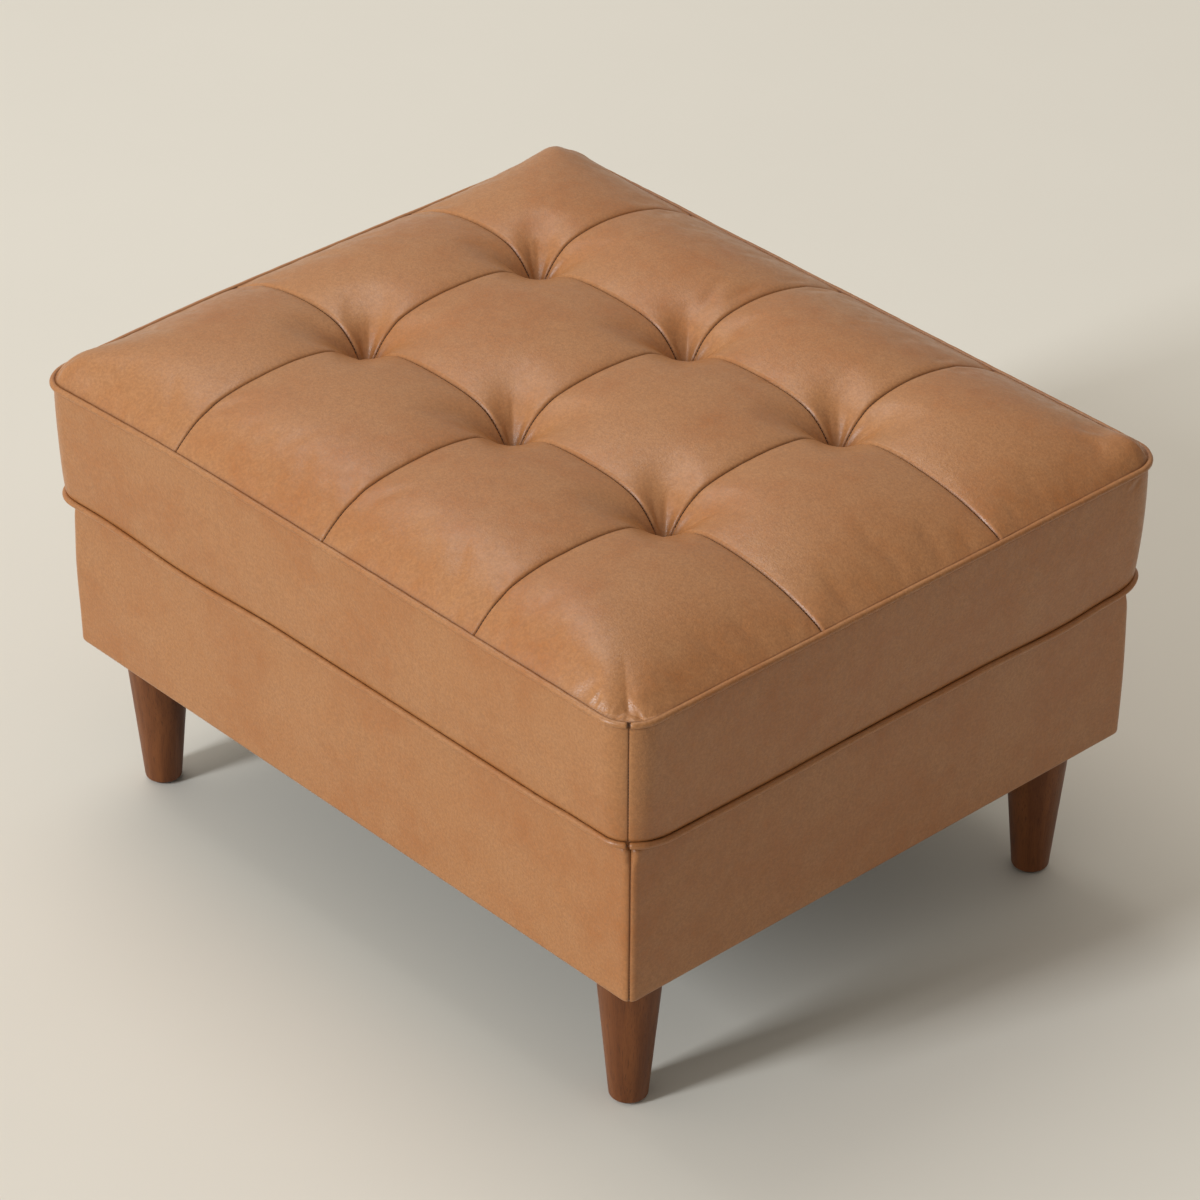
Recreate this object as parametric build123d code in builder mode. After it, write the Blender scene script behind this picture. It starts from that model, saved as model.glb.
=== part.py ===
from build123d import *
import math
import os

os.makedirs("parts", exist_ok=True)

# Tufted ottoman: a loose box cushion that lies on an upholstered wooden base with four turned legs.
# +X runs along the long side and +Z is up. The front is at -Y, and the origin is on the floor
# under the middle. All lengths are in millimetres.

# Overall sizes
cushion_length = 774.0  # between the middles of the top welt
cushion_width = 632.0
cushion_height = 118.0  # between the middles of the two welts
bottom_inset = 5.0  # how far the bottom welt stands back under the top one
base_setback = 15.5  # how far the base stands back under the top welt
rail_height = 155.6
leg_length = 147.5
leg_inset = 51.0  # from the faces of the base to a leg's axis

# Soft materials and the small gaps between layers
leather = 1.2
layer_gap = 0.2
seam_gap = 0.3
lift_gap = 0.3  # between the cushion and the base it rests on

# Frame
rail_thickness = 22.0
centre_rail_height = 70.0
padding_side = 6.0
padding_lap = 7.0  # how far the padding runs in over the rails
block_leg = 110.0
block_height = 50.0
rail_screw_radius = 2.5
rail_screw_length = 60.0
rail_screw_head = 5.0
rail_screw_shares = (0.25, 0.75)  # of the rail's height
centre_screw_shares = (0.3, 0.7)
screw_play = 0.05

# Deck
webbing = 1.2
weave_gap = 0.2
strap_width = 50.0
strap_margin = 3.0
long_straps = 4
cross_straps = 5
deck_cloth_thickness = 0.5
deck_pad_thickness = 4.0
deck_cover_thickness = 0.8
border_width = 72.0  # leather border round the deck cover
turn_under = 18.0
base_corner_radius = 15.0
base_roll_radius = 13.0
base_hem_radius = 4.0
dust_cover_thickness = 0.5
dust_cover_inset = 8.0

# Legs and their fixings
glide_thickness = 2.5
glide_radius = 13.0
glide_edge = 0.8
glide_nail_radius = 1.2
glide_nail_length = 14.0
leg_top_radius = 30.5
leg_foot_radius = 17.0
leg_foot_round = 3.5
plate_side = 50.0
plate_thickness = 2.5
plate_corner = 5.0
boss_radius = 7.0
boss_height = 6.0
bolt_radius = 4.0
bolt_length = 60.0
bolt_play = 0.15
bolt_share = 0.5  # of the bolt that goes into the leg
plate_screw_radius = 2.0
plate_screw_length = 18.0
plate_screw_head = 4.0
plate_screw_spacing = 36.0

# Cushion
foam_thickness = 100.0
foam_edge = 2.5  # bevel that clears the bottom welt
welt_radius = 3.0
welt_bore = 1.7
cord_radius = 1.5
corner_radius = 33.0  # of the top welt, seen from above
boxing_inset = 1.0  # from the middles of the welts
boxing_bulge = 2.0
join_gap = 0.4
tufts_along = 3
tufts_across = 2
panel_leather = 1.6
edge_lift = 2.0  # of the panels' edges above the welt's middle
pillow_rise = 44.0
cross_seam_rise = 38.0  # crest of the seams that run across
long_seam_rise = 32.0  # crest of the seams that run along
edge_rise = 1.5
tuft_drop = 12.0
tie_radius = 1.0
knot_radius = 2.2
tie_play = 0.3
washer_radius = 11.0
washer_thickness = 2.0
pillow_stations = 8
overrun = 2.0  # how far a cut runs past what it cuts

# Heights, from the floor up
leg_top = glide_thickness + leg_length
frame_bottom = leg_top + plate_thickness
frame_top = frame_bottom + rail_height
weave_top = frame_top + 2 * webbing + weave_gap
deck_cloth_bottom = weave_top + layer_gap
deck_pad_bottom = deck_cloth_bottom + deck_cloth_thickness + layer_gap
border_bottom = deck_pad_bottom + deck_pad_thickness + layer_gap
base_top = border_bottom + leather
cushion_bottom = base_top + lift_gap
bottom_welt_height = cushion_bottom + leather / 2
top_welt_height = bottom_welt_height + cushion_height
foam_bottom = cushion_bottom + leather + layer_gap
foam_top = foam_bottom + foam_thickness
fill_bottom = foam_top + layer_gap
edge_height = top_welt_height + edge_lift
tuft_height = edge_height - tuft_drop

# Plan sizes
base_length = cushion_length - 2 * base_setback
base_width = cushion_width - 2 * base_setback
skin_depth = leather + layer_gap + padding_side
frame_length = base_length - 2 * skin_depth
frame_width = base_width - 2 * skin_depth
leg_x = base_length / 2 - leg_inset
leg_y = base_width / 2 - leg_inset
panel_length = cushion_length - 2 * (welt_radius + layer_gap)
panel_width = cushion_width - 2 * (welt_radius + layer_gap)
panel_corner = corner_radius - welt_radius - layer_gap
boxing_length = cushion_length - 2 * boxing_inset
boxing_width = cushion_width - 2 * boxing_inset
boxing_corner = corner_radius - boxing_inset
foam_length = boxing_length - 2 * (leather + layer_gap)
foam_width = boxing_width - 2 * (leather + layer_gap)
foam_corner = boxing_corner - leather - layer_gap
cell_length = panel_length / (tufts_along + 1)
cell_width = panel_width / (tufts_across + 1)
tuft_points = [
    (cell_length * (i - (tufts_along - 1) / 2), cell_width * (j - (tufts_across - 1) / 2))
    for i in range(tufts_along)
    for j in range(tufts_across)
]
leg_places = {
    "front_left": (-leg_x, -leg_y),
    "front_right": (leg_x, -leg_y),
    "back_left": (-leg_x, leg_y),
    "back_right": (leg_x, leg_y),
}
side_turns = {"front": 0, "right": 90, "back": 180, "left": 270}


def write(part, name):
    part.label = name
    export_step(part, f"parts/{name}.step")


def slab(length, width, corner, bottom, top):
    """A flat sheet or block with rounded corners, seen from above."""
    with BuildPart() as made:
        with BuildSketch(Plane.XY.offset(bottom)):
            RectangleRounded(length, width, corner)
        extrude(amount=top - bottom)
    return made.part


def rolled_block(inset, bottom, top):
    """The base's outer form, drawn in by an inset: rounded corners, rolled top edge, soft hem."""
    with BuildPart() as made:
        with BuildSketch(Plane.XY.offset(bottom)):
            RectangleRounded(base_length - 2 * inset, base_width - 2 * inset, base_corner_radius - inset)
        extrude(amount=top - bottom)
        fillet(made.faces().sort_by(Axis.Z)[-1].edges(), base_roll_radius - inset)
        fillet(made.faces().sort_by(Axis.Z)[0].edges(), base_hem_radius - inset)
    return made.part


def mitre_outline(side, length, width):
    """One side's share of a rectangle, cut off at 45 degrees at both of its corners."""
    half_run = length / 2 if side in ("front", "back") else width / 2
    half_depth = width / 2 if side in ("front", "back") else length / 2
    reach = border_width + overrun
    return [
        (-half_run - overrun + seam_gap, -half_depth - overrun),
        (half_run + overrun - seam_gap, -half_depth - overrun),
        (half_run - reach - seam_gap, -half_depth + reach),
        (-half_run + reach + seam_gap, -half_depth + reach),
    ]


def side_piece(ring, side, bottom, top):
    """The stretch of a ring that lies on one side, between the corner seams."""
    with BuildPart() as made:
        add(ring)
        with BuildSketch(Plane.XY.offset(bottom).rotated((0, 0, side_turns[side]))):
            with BuildLine():
                Polyline(*mitre_outline(side, base_length, base_width), close=True)
            make_face()
        extrude(amount=top - bottom, mode=Mode.INTERSECT)
    return made.part


# Frame: long rails run through, short rails and the centre rail stand between them
rail_inside = frame_width / 2 - rail_thickness
screw_heights = [frame_bottom + rail_height * share for share in rail_screw_shares]
centre_screw_heights = [frame_bottom + centre_rail_height * share for share in centre_screw_shares]
rail_screw_places = [
    (x, z)
    for x in (rail_thickness / 2 - frame_length / 2, frame_length / 2 - rail_thickness / 2)
    for z in screw_heights
] + [(0, z) for z in centre_screw_heights]

for side, face in (("front", -1), ("back", 1)):
    with BuildPart() as long_rail:
        with BuildSketch(Plane.XY.offset(frame_bottom)):
            with Locations((0, face * (frame_width - rail_thickness) / 2)):
                Rectangle(frame_length, rail_thickness)
        extrude(amount=rail_height)
        for x, z in rail_screw_places:
            with Locations(Plane(origin=(x, face * frame_width / 2, z), z_dir=(0, face, 0))):
                CounterSinkHole(rail_screw_radius + screw_play, rail_screw_head + screw_play)
    write(long_rail.part, f"rail_{side}")

for side, face in (("left", -1), ("right", 1)):
    with BuildPart() as short_rail:
        with BuildSketch(Plane.XY.offset(frame_bottom)):
            with Locations((face * (frame_length - rail_thickness) / 2, 0)):
                Rectangle(rail_thickness, 2 * rail_inside)
        extrude(amount=rail_height)
        for end in (-1, 1):
            for z in screw_heights:
                middle = face * (frame_length - rail_thickness) / 2
                with Locations(Plane(origin=(middle, end * rail_inside, z), z_dir=(0, end, 0))):
                    Hole(rail_screw_radius + screw_play, depth=rail_screw_length - rail_thickness + overrun)
    write(short_rail.part, f"rail_{side}")

with BuildPart() as centre_rail:
    with BuildSketch(Plane.XY.offset(frame_bottom)):
        Rectangle(rail_thickness, 2 * rail_inside)
    extrude(amount=centre_rail_height)
    for end in (-1, 1):
        for z in centre_screw_heights:
            with Locations(Plane(origin=(0, end * rail_inside, z), z_dir=(0, end, 0))):
                Hole(rail_screw_radius + screw_play, depth=rail_screw_length - rail_thickness + overrun)
write(centre_rail.part, "centre_rail")

with BuildPart() as rail_screws:
    for face in (-1, 1):
        for x, z in rail_screw_places:
            head_plane = Plane(origin=(x, face * frame_width / 2, z), z_dir=(0, -face, 0))
            with BuildSketch(head_plane):
                Circle(rail_screw_head)
            with BuildSketch(head_plane.offset(rail_screw_head - rail_screw_radius)):
                Circle(rail_screw_radius)
            loft()
            with BuildSketch(head_plane):
                Circle(rail_screw_radius)
            extrude(amount=rail_screw_length)
write(rail_screws.part, "rail_screws")

# Corner blocks: triangular, with the bolt's bore, the boss's seat and the plate screws' pilot holes
screw_grid = plate_screw_spacing / 2
with BuildPart() as corner_blocks:
    for x, y in leg_places.values():
        turn_x = math.copysign(1, x)
        turn_y = math.copysign(1, y)
        inner_x = turn_x * (frame_length / 2 - rail_thickness)
        inner_y = turn_y * rail_inside
        with BuildSketch(Plane.XY.offset(frame_bottom)):
            with BuildLine():
                Polyline(
                    (inner_x, inner_y),
                    (inner_x - turn_x * block_leg, inner_y),
                    (inner_x, inner_y - turn_y * block_leg),
                    close=True,
                )
            make_face()
        extrude(amount=block_height)
        with BuildSketch(Plane.XY.offset(frame_bottom)):
            with Locations((x, y)):
                Circle(boss_radius + bolt_play)
        extrude(amount=boss_height + bolt_play, mode=Mode.SUBTRACT)
        with BuildSketch(Plane.XY.offset(frame_bottom)):
            with Locations((x, y)):
                Circle(bolt_radius + bolt_play)
        extrude(amount=bolt_length * (1 - bolt_share), mode=Mode.SUBTRACT)
        with BuildSketch(Plane.XY.offset(frame_bottom)):
            with Locations((x, y)):
                with GridLocations(plate_screw_spacing, plate_screw_spacing, 2, 2):
                    Circle(plate_screw_radius + screw_play)
        extrude(amount=plate_screw_length, mode=Mode.SUBTRACT)
write(corner_blocks.part, "corner_blocks")

# Leg plates with a threaded boss, countersunk for their screws
with BuildPart() as leg_plates:
    for x, y in leg_places.values():
        with BuildSketch(Plane.XY.offset(leg_top)):
            with Locations((x, y)):
                RectangleRounded(plate_side, plate_side, plate_corner)
        extrude(amount=plate_thickness)
        with BuildSketch(Plane.XY.offset(frame_bottom)):
            with Locations((x, y)):
                Circle(boss_radius)
        extrude(amount=boss_height)
        with BuildSketch(Plane.XY.offset(leg_top)):
            with Locations((x, y)):
                Circle(bolt_radius + bolt_play)
        extrude(amount=plate_thickness + boss_height, mode=Mode.SUBTRACT)
        with Locations(Plane(origin=(x, y, leg_top), z_dir=(0, 0, -1))):
            with GridLocations(plate_screw_spacing, plate_screw_spacing, 2, 2):
                CounterSinkHole(
                    plate_screw_radius + screw_play, plate_screw_head + screw_play, depth=plate_thickness
                )
write(leg_plates.part, "leg_plates")

with BuildPart() as plate_screws:
    for x, y in leg_places.values():
        with BuildSketch(Plane.XY.offset(leg_top)):
            with Locations((x, y)):
                with GridLocations(plate_screw_spacing, plate_screw_spacing, 2, 2):
                    Circle(plate_screw_radius)
        extrude(amount=plate_screw_length)
        with Locations((x, y, leg_top + (plate_screw_head - plate_screw_radius) / 2)):
            with GridLocations(plate_screw_spacing, plate_screw_spacing, 2, 2):
                Cone(plate_screw_head, plate_screw_radius, plate_screw_head - plate_screw_radius)
write(plate_screws.part, "plate_screws")

bolt_bottom = leg_top - bolt_length * bolt_share
with BuildPart() as hanger_bolts:
    for x, y in leg_places.values():
        with BuildSketch(Plane.XY.offset(bolt_bottom)):
            with Locations((x, y)):
                Circle(bolt_radius)
        extrude(amount=bolt_length)
write(hanger_bolts.part, "hanger_bolts")

# Turned legs: straight taper, rounded foot, bored for the hanger bolt and the glide's nail
for name, (x, y) in leg_places.items():
    with BuildPart() as leg:
        with BuildSketch(Plane.XZ.offset(-y)):
            with BuildLine():
                foot = Line((x, glide_thickness), (x + leg_foot_radius, glide_thickness))
                taper = Line(foot @ 1, (x + leg_top_radius, leg_top))
                Polyline(taper @ 1, (x, leg_top), (x, glide_thickness))
            make_face()
        revolve(axis=Axis((x, y, 0), (0, 0, 1)))
        foot_edge = leg.edges().filter_by(GeomType.CIRCLE).sort_by(Axis.Z)[0]
        fillet(foot_edge, leg_foot_round)
        with BuildSketch(Plane.XY.offset(leg_top)):
            with Locations((x, y)):
                Circle(bolt_radius + bolt_play)
        extrude(amount=-(bolt_length * bolt_share + overrun), mode=Mode.SUBTRACT)
        with BuildSketch(Plane.XY.offset(glide_thickness)):
            with Locations((x, y)):
                Circle(glide_nail_radius + screw_play)
        extrude(amount=glide_nail_length, mode=Mode.SUBTRACT)
    write(leg.part, f"leg_{name}")

    with BuildPart() as glide:
        with BuildSketch(Plane.XY):
            with Locations((x, y)):
                Circle(glide_radius)
        extrude(amount=glide_thickness)
        chamfer(glide.edges().group_by(Axis.Z)[0], glide_edge)
        with BuildSketch(Plane.XY.offset(glide_thickness)):
            with Locations((x, y)):
                Circle(glide_nail_radius)
        extrude(amount=glide_nail_length - layer_gap)
    write(glide.part, f"glide_{name}")

# Webbing: long and cross straps woven over and under each other, stapled on the rails
strap_half_long = frame_length / 2 - padding_lap - layer_gap
strap_half_cross = frame_width / 2 - padding_lap - layer_gap
long_pitch = 2 * rail_inside / long_straps
cross_pitch = 2 * (frame_length / 2 - rail_thickness) / cross_straps
long_places = [long_pitch * (j - (long_straps - 1) / 2) for j in range(long_straps)]
cross_places = [cross_pitch * (i - (cross_straps - 1) / 2) for i in range(cross_straps)]


def strap_outline(half_run, crossings, first_over):
    """A strap seen from its edge: it lies on the rails and goes over and under at the crossings."""
    raised = webbing + weave_gap
    line = [(-half_run, frame_top)]
    for count, place in enumerate(crossings):
        level = frame_top + (raised if (count + first_over) % 2 else 0)
        line.append((place - strap_width / 2 - strap_margin, level))
        line.append((place + strap_width / 2 + strap_margin, level))
    line.append((half_run, frame_top))
    return line + [(run, level + webbing) for run, level in reversed(line)]


with BuildPart() as webbing_long:
    for count, place in enumerate(long_places):
        with BuildSketch(Plane.XZ.offset(-place)):
            with BuildLine():
                Polyline(*strap_outline(strap_half_long, cross_places, count), close=True)
            make_face()
        extrude(amount=strap_width / 2, both=True)
write(webbing_long.part, "webbing_long")

with BuildPart() as webbing_cross:
    for count, place in enumerate(cross_places):
        with BuildSketch(Plane.YZ.offset(place)):
            with BuildLine():
                Polyline(*strap_outline(strap_half_cross, long_places, count + 1), close=True)
            make_face()
        extrude(amount=strap_width / 2, both=True)
write(webbing_cross.part, "webbing_cross")

# Deck layers inside the lap of the padding
deck_length = frame_length - 2 * (padding_lap + layer_gap)
deck_width = frame_width - 2 * (padding_lap + layer_gap)
deck_corner = base_corner_radius - skin_depth
deck_cloth = slab(
    deck_length, deck_width, deck_corner, deck_cloth_bottom, deck_cloth_bottom + deck_cloth_thickness
)
write(deck_cloth, "deck_cloth")
deck_pad = slab(
    deck_length, deck_width, deck_corner, deck_pad_bottom, deck_pad_bottom + deck_pad_thickness
)
write(deck_pad, "deck_pad")

opening_length = base_length - 2 * border_width
opening_width = base_width - 2 * border_width
deck_cover = slab(
    opening_length - 2 * seam_gap,
    opening_width - 2 * seam_gap,
    base_corner_radius - seam_gap,
    border_bottom,
    border_bottom + deck_cover_thickness,
)
write(deck_cover, "deck_cover")

# Padding: a foam sleeve on the rails that laps over their top edges
cover_bottom = frame_bottom - leather
padding_inset = leather + layer_gap
with BuildPart() as padding:
    add(rolled_block(padding_inset, frame_bottom, border_bottom - layer_gap))
    with BuildSketch(Plane.XY.offset(frame_bottom)):
        Rectangle(frame_length, frame_width)
    extrude(amount=rail_height, mode=Mode.SUBTRACT)
    with BuildSketch(Plane.XY.offset(frame_top)):
        Rectangle(frame_length - 2 * padding_lap, frame_width - 2 * padding_lap)
    extrude(amount=base_top - frame_top, mode=Mode.SUBTRACT)

# Leather sleeve: rolled over the padding, turned in on the deck and turned under the rails
with BuildPart() as sleeve:
    add(rolled_block(0, cover_bottom, base_top))
    add(rolled_block(leather, frame_bottom, border_bottom), mode=Mode.SUBTRACT)
    with BuildSketch(Plane.XY.offset(border_bottom - overrun)):
        RectangleRounded(opening_length, opening_width, base_corner_radius)
    extrude(amount=leather + 2 * overrun, mode=Mode.SUBTRACT)
    with BuildSketch(Plane.XY.offset(cover_bottom - overrun)):
        RectangleRounded(base_length - 2 * turn_under, base_width - 2 * turn_under, base_hem_radius)
    extrude(amount=leather + 2 * overrun, mode=Mode.SUBTRACT)

for side in side_turns:
    write(side_piece(padding.part, side, cover_bottom, base_top), f"padding_{side}")
    write(side_piece(sleeve.part, side, cover_bottom, base_top), f"base_panel_{side}")

# Dust cover, cut out round the leg plates
with BuildPart() as dust_cover:
    with BuildSketch(Plane.XY.offset(cover_bottom - dust_cover_thickness)):
        RectangleRounded(
            base_length - 2 * dust_cover_inset, base_width - 2 * dust_cover_inset, base_hem_radius
        )
        with Locations(*leg_places.values()):
            RectangleRounded(
                plate_side + 2 * layer_gap, plate_side + 2 * layer_gap, plate_corner, mode=Mode.SUBTRACT
            )
    extrude(amount=dust_cover_thickness)
write(dust_cover.part, "dust_cover")


# Cushion top: every panel is a pillow between its four seams, and dives at the tufts
def pillow(column, row, inset, bottom):
    """One pillow block, drawn in by an inset on all sides and at the top, down to a flat bottom."""
    start = -panel_length / 2 + column * cell_length
    near = -panel_width / 2 + row * cell_width
    middle = start + cell_length / 2
    half = cell_length / 2 - inset
    last_column = tufts_along
    last_row = tufts_across
    with BuildPart() as made:
        for station in range(pillow_stations + 1):
            angle = math.pi * station / pillow_stations
            share = -math.cos(angle)
            rise = math.sin(angle) if 0 < station < pillow_stations else 0
            outer_end = (share < 0 and column == 0) or (share > 0 and column == last_column)
            crest_end = edge_height + (edge_rise if outer_end else cross_seam_rise)
            seam_end = edge_height if outer_end else tuft_height
            crest = crest_end + (edge_height + pillow_rise - crest_end) * rise
            seam = seam_end + (edge_height + long_seam_rise - seam_end) * rise
            near_height = (edge_height if row == 0 else seam) - inset
            far_height = (edge_height if row == last_row else seam) - inset
            with BuildSketch(Plane.YZ.offset(middle + share * half)):
                with BuildLine():
                    near_side = Line((near + inset, bottom), (near + inset, near_height))
                    top = ThreePointArc(
                        near_side @ 1,
                        (near + cell_width / 2, crest - inset),
                        (near + cell_width - inset, far_height),
                    )
                    far_side = Line(top @ 1, (near + cell_width - inset, bottom))
                    Line(far_side @ 1, near_side @ 0)
                make_face()
        loft()
        if column in (0, last_column) and row in (0, last_row):
            with BuildSketch(Plane.XY.offset(bottom)):
                outline = inset - seam_gap / 2
                RectangleRounded(
                    panel_length - 2 * outline, panel_width - 2 * outline, panel_corner - outline
                )
            extrude(amount=edge_height + 2 * pillow_rise - bottom, mode=Mode.INTERSECT)
    return made.part


tie_top = tuft_height - knot_radius - leather
panel_list = []
pad_list = []
for column in range(tufts_along + 1):
    for row in range(tufts_across + 1):
        with BuildPart() as panel:
            add(pillow(column, row, seam_gap / 2, fill_bottom))
            add(pillow(column, row, seam_gap / 2 + panel_leather, fill_bottom - overrun), mode=Mode.SUBTRACT)
            with BuildSketch(Plane.XY.offset(fill_bottom - overrun)):
                with Locations(*tuft_points):
                    Circle(knot_radius + tie_play)
            extrude(amount=tie_top + knot_radius + tie_play - fill_bottom + overrun, mode=Mode.SUBTRACT)
        panel_list.append(panel.part)
        with BuildPart() as pad:
            add(pillow(column, row, seam_gap / 2 + panel_leather + layer_gap, fill_bottom))
            with BuildSketch(Plane.XY.offset(fill_bottom)):
                with Locations(*tuft_points):
                    Circle(knot_radius + tie_play)
            extrude(amount=edge_height - fill_bottom, mode=Mode.SUBTRACT)
        pad_list.append(pad.part)
write(Compound(children=panel_list), "top_panels")
write(Compound(children=pad_list), "fibre_fill")

# Foam core with a bevel round its underside, the tie holes and the washers' seats
foam_levels = (
    (foam_bottom, bottom_inset + foam_edge),
    (foam_bottom + foam_edge, bottom_inset),
    (foam_top, 0),
)
with BuildPart() as foam_core:
    for height, inset in foam_levels:
        with BuildSketch(Plane.XY.offset(height)):
            RectangleRounded(foam_length - 2 * inset, foam_width - 2 * inset, foam_corner - inset)
    loft(ruled=True)
    with BuildSketch(Plane.XY.offset(foam_bottom)):
        with Locations(*tuft_points):
            Circle(tie_radius + tie_play)
    extrude(amount=foam_thickness, mode=Mode.SUBTRACT)
    with BuildSketch(Plane.XY.offset(foam_bottom)):
        with Locations(*tuft_points):
            Circle(washer_radius + tie_play)
    extrude(amount=washer_thickness + layer_gap, mode=Mode.SUBTRACT)
write(foam_core.part, "foam_core")

with BuildPart() as tuft_washers:
    with BuildSketch(Plane.XY.offset(foam_bottom)):
        with Locations(*tuft_points):
            Circle(washer_radius)
            Circle(tie_radius + tie_play, mode=Mode.SUBTRACT)
    extrude(amount=washer_thickness)
write(tuft_washers.part, "tuft_washers")

with BuildPart() as tuft_ties:
    with BuildSketch(Plane.XY.offset(foam_bottom)):
        with Locations(*tuft_points):
            Circle(tie_radius)
    extrude(amount=tie_top - foam_bottom)
    with Locations(*[(x, y, tie_top) for x, y in tuft_points]):
        Sphere(knot_radius)
write(tuft_ties.part, "tuft_ties")

bottom_panel = slab(
    panel_length - 2 * bottom_inset,
    panel_width - 2 * bottom_inset,
    panel_corner - bottom_inset,
    cushion_bottom,
    cushion_bottom + leather,
)
write(bottom_panel, "bottom_panel")

# Boxing: four leather bands, each bulged a little between the welts and wrapped round half of each corner
boxing_bottom = bottom_welt_height + welt_radius + layer_gap
boxing_top = top_welt_height - welt_radius - layer_gap
boxing_crest = boxing_bulge - bottom_inset / 2
seam_angle = math.degrees(seam_gap / 2 / (boxing_corner - bottom_inset))
for side, turn in side_turns.items():
    run = (boxing_length if side in ("front", "back") else boxing_width) - 2 * boxing_corner
    depth = (boxing_width if side in ("front", "back") else boxing_length) / 2
    band_plane = Plane.XY.offset((boxing_bottom + boxing_top) / 2).rotated((0, 0, turn))
    with BuildPart() as band:
        with BuildLine(band_plane) as path:
            sweep_angle = 45 - seam_angle
            start_angle = math.radians(-90 - sweep_angle)
            start = (
                -run / 2 + boxing_corner * math.cos(start_angle),
                -depth + boxing_corner + boxing_corner * math.sin(start_angle),
            )
            heading = (-math.sin(start_angle), math.cos(start_angle))
            first = JernArc(start, heading, boxing_corner, sweep_angle)
            straight = Line(first @ 1, first @ 1 + (first % 1) * run)
            JernArc(straight @ 1, straight % 1, boxing_corner, sweep_angle)
        rise = (boxing_top - boxing_bottom) / 2
        outward = (first % 0).cross(Vector(0, 0, 1))
        # The sketch's Y axis points down
        with BuildSketch(Plane(origin=first @ 0, x_dir=outward, z_dir=first % 0)):
            with BuildLine():
                outer = ThreePointArc((0, -rise), (boxing_crest, 0), (-bottom_inset, rise))
                edge = Line(outer @ 1, (-bottom_inset - leather, rise))
                inner = ThreePointArc(edge @ 1, (boxing_crest - leather, 0), (-leather, -rise))
                Line(inner @ 1, outer @ 0)
            make_face()
        sweep(path=path.wires()[0])
    write(band.part, f"boxing_{side}")


# Welts: one leather tube each round a cord, with its join at the front right corner
def welt_ring(height, inset, outer_radius, bore_radius):
    """A ring that follows the cushion's outline, drawn in by an inset, closed but for the join."""
    bend_radius = corner_radius - inset
    join_angle = math.degrees(join_gap / 2 / bend_radius)
    half_x = cushion_length / 2 - corner_radius
    half_y = cushion_width / 2 - corner_radius
    start_angle = math.radians(-45 + join_angle)
    with BuildPart() as made:
        with BuildLine(Plane.XY.offset(height)) as path:
            start = (
                half_x + bend_radius * math.cos(start_angle),
                -half_y + bend_radius * math.sin(start_angle),
            )
            heading = (-math.sin(start_angle), math.cos(start_angle))
            last = JernArc(start, heading, bend_radius, 45 - join_angle)
            first_point = last @ 0
            first_heading = last % 0
            for run in (2 * half_y, 2 * half_x, 2 * half_y):
                straight = Line(last @ 1, last @ 1 + (last % 1) * run)
                last = JernArc(straight @ 1, straight % 1, bend_radius, 90)
            straight = Line(last @ 1, last @ 1 + (last % 1) * 2 * half_x)
            JernArc(straight @ 1, straight % 1, bend_radius, 45 - join_angle)
        with BuildSketch(Plane(origin=first_point, z_dir=first_heading)):
            Circle(outer_radius)
            if bore_radius:
                Circle(bore_radius, mode=Mode.SUBTRACT)
        sweep(path=path.wires()[0])
    return made.part


for name, height, inset in (
    ("top_welt", top_welt_height, 0),
    ("bottom_welt", bottom_welt_height, bottom_inset),
):
    write(welt_ring(height, inset, welt_radius, welt_bore), name)
    write(welt_ring(height, inset, cord_radius, 0), f"{name}_cord")

print("nodes", len(os.listdir("parts")), "top of the cushion", edge_height + pillow_rise)
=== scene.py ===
import math

import bmesh
import bpy
import numpy as np
from mathutils import Matrix, Vector


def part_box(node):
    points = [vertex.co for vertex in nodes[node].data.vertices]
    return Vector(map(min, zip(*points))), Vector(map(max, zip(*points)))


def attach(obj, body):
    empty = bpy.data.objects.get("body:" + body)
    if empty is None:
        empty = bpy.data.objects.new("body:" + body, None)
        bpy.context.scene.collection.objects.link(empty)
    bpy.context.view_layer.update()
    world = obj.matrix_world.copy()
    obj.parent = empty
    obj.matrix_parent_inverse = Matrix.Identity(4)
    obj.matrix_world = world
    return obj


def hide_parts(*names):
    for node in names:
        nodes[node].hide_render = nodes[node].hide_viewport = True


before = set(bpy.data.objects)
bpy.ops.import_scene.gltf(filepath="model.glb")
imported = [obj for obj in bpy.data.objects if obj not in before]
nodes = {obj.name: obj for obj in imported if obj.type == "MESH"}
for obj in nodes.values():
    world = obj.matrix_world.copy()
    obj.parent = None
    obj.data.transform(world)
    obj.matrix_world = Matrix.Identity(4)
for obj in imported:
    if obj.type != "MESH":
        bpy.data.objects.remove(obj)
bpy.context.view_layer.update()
mm = 0.001
none = np.zeros(0)
print("frame loaded:", len(nodes), "CAD nodes")


def smooth(t):
    t = np.clip(t, 0.0, 1.0)
    return t * t * (3 - 2 * t)


def mix(a, b, t):
    return a + (b - a) * t


def lowOf(name):
    return np.array(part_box(name)[0]) / mm


def highOf(name):
    return np.array(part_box(name)[1]) / mm


def addObject(name, data):
    made = bpy.data.objects.new(name, data)
    bpy.context.scene.collection.objects.link(made)
    return made


def meshOf(name, points, faces):
    # points in millimetres, faces as index lists
    mesh = bpy.data.meshes.new(name)
    mesh.from_pydata([tuple(p) for p in np.asarray(points) * mm], [], faces)
    return mesh


def addPiece(name, points, faces, material, bodyName):
    mesh = meshOf(name, points, faces)
    mesh.validate()
    mesh.materials.append(material)
    mesh.polygons.foreach_set("use_smooth", [True] * len(mesh.polygons))
    piece = addObject(name, mesh)
    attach(piece, bodyName)
    return piece


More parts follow.
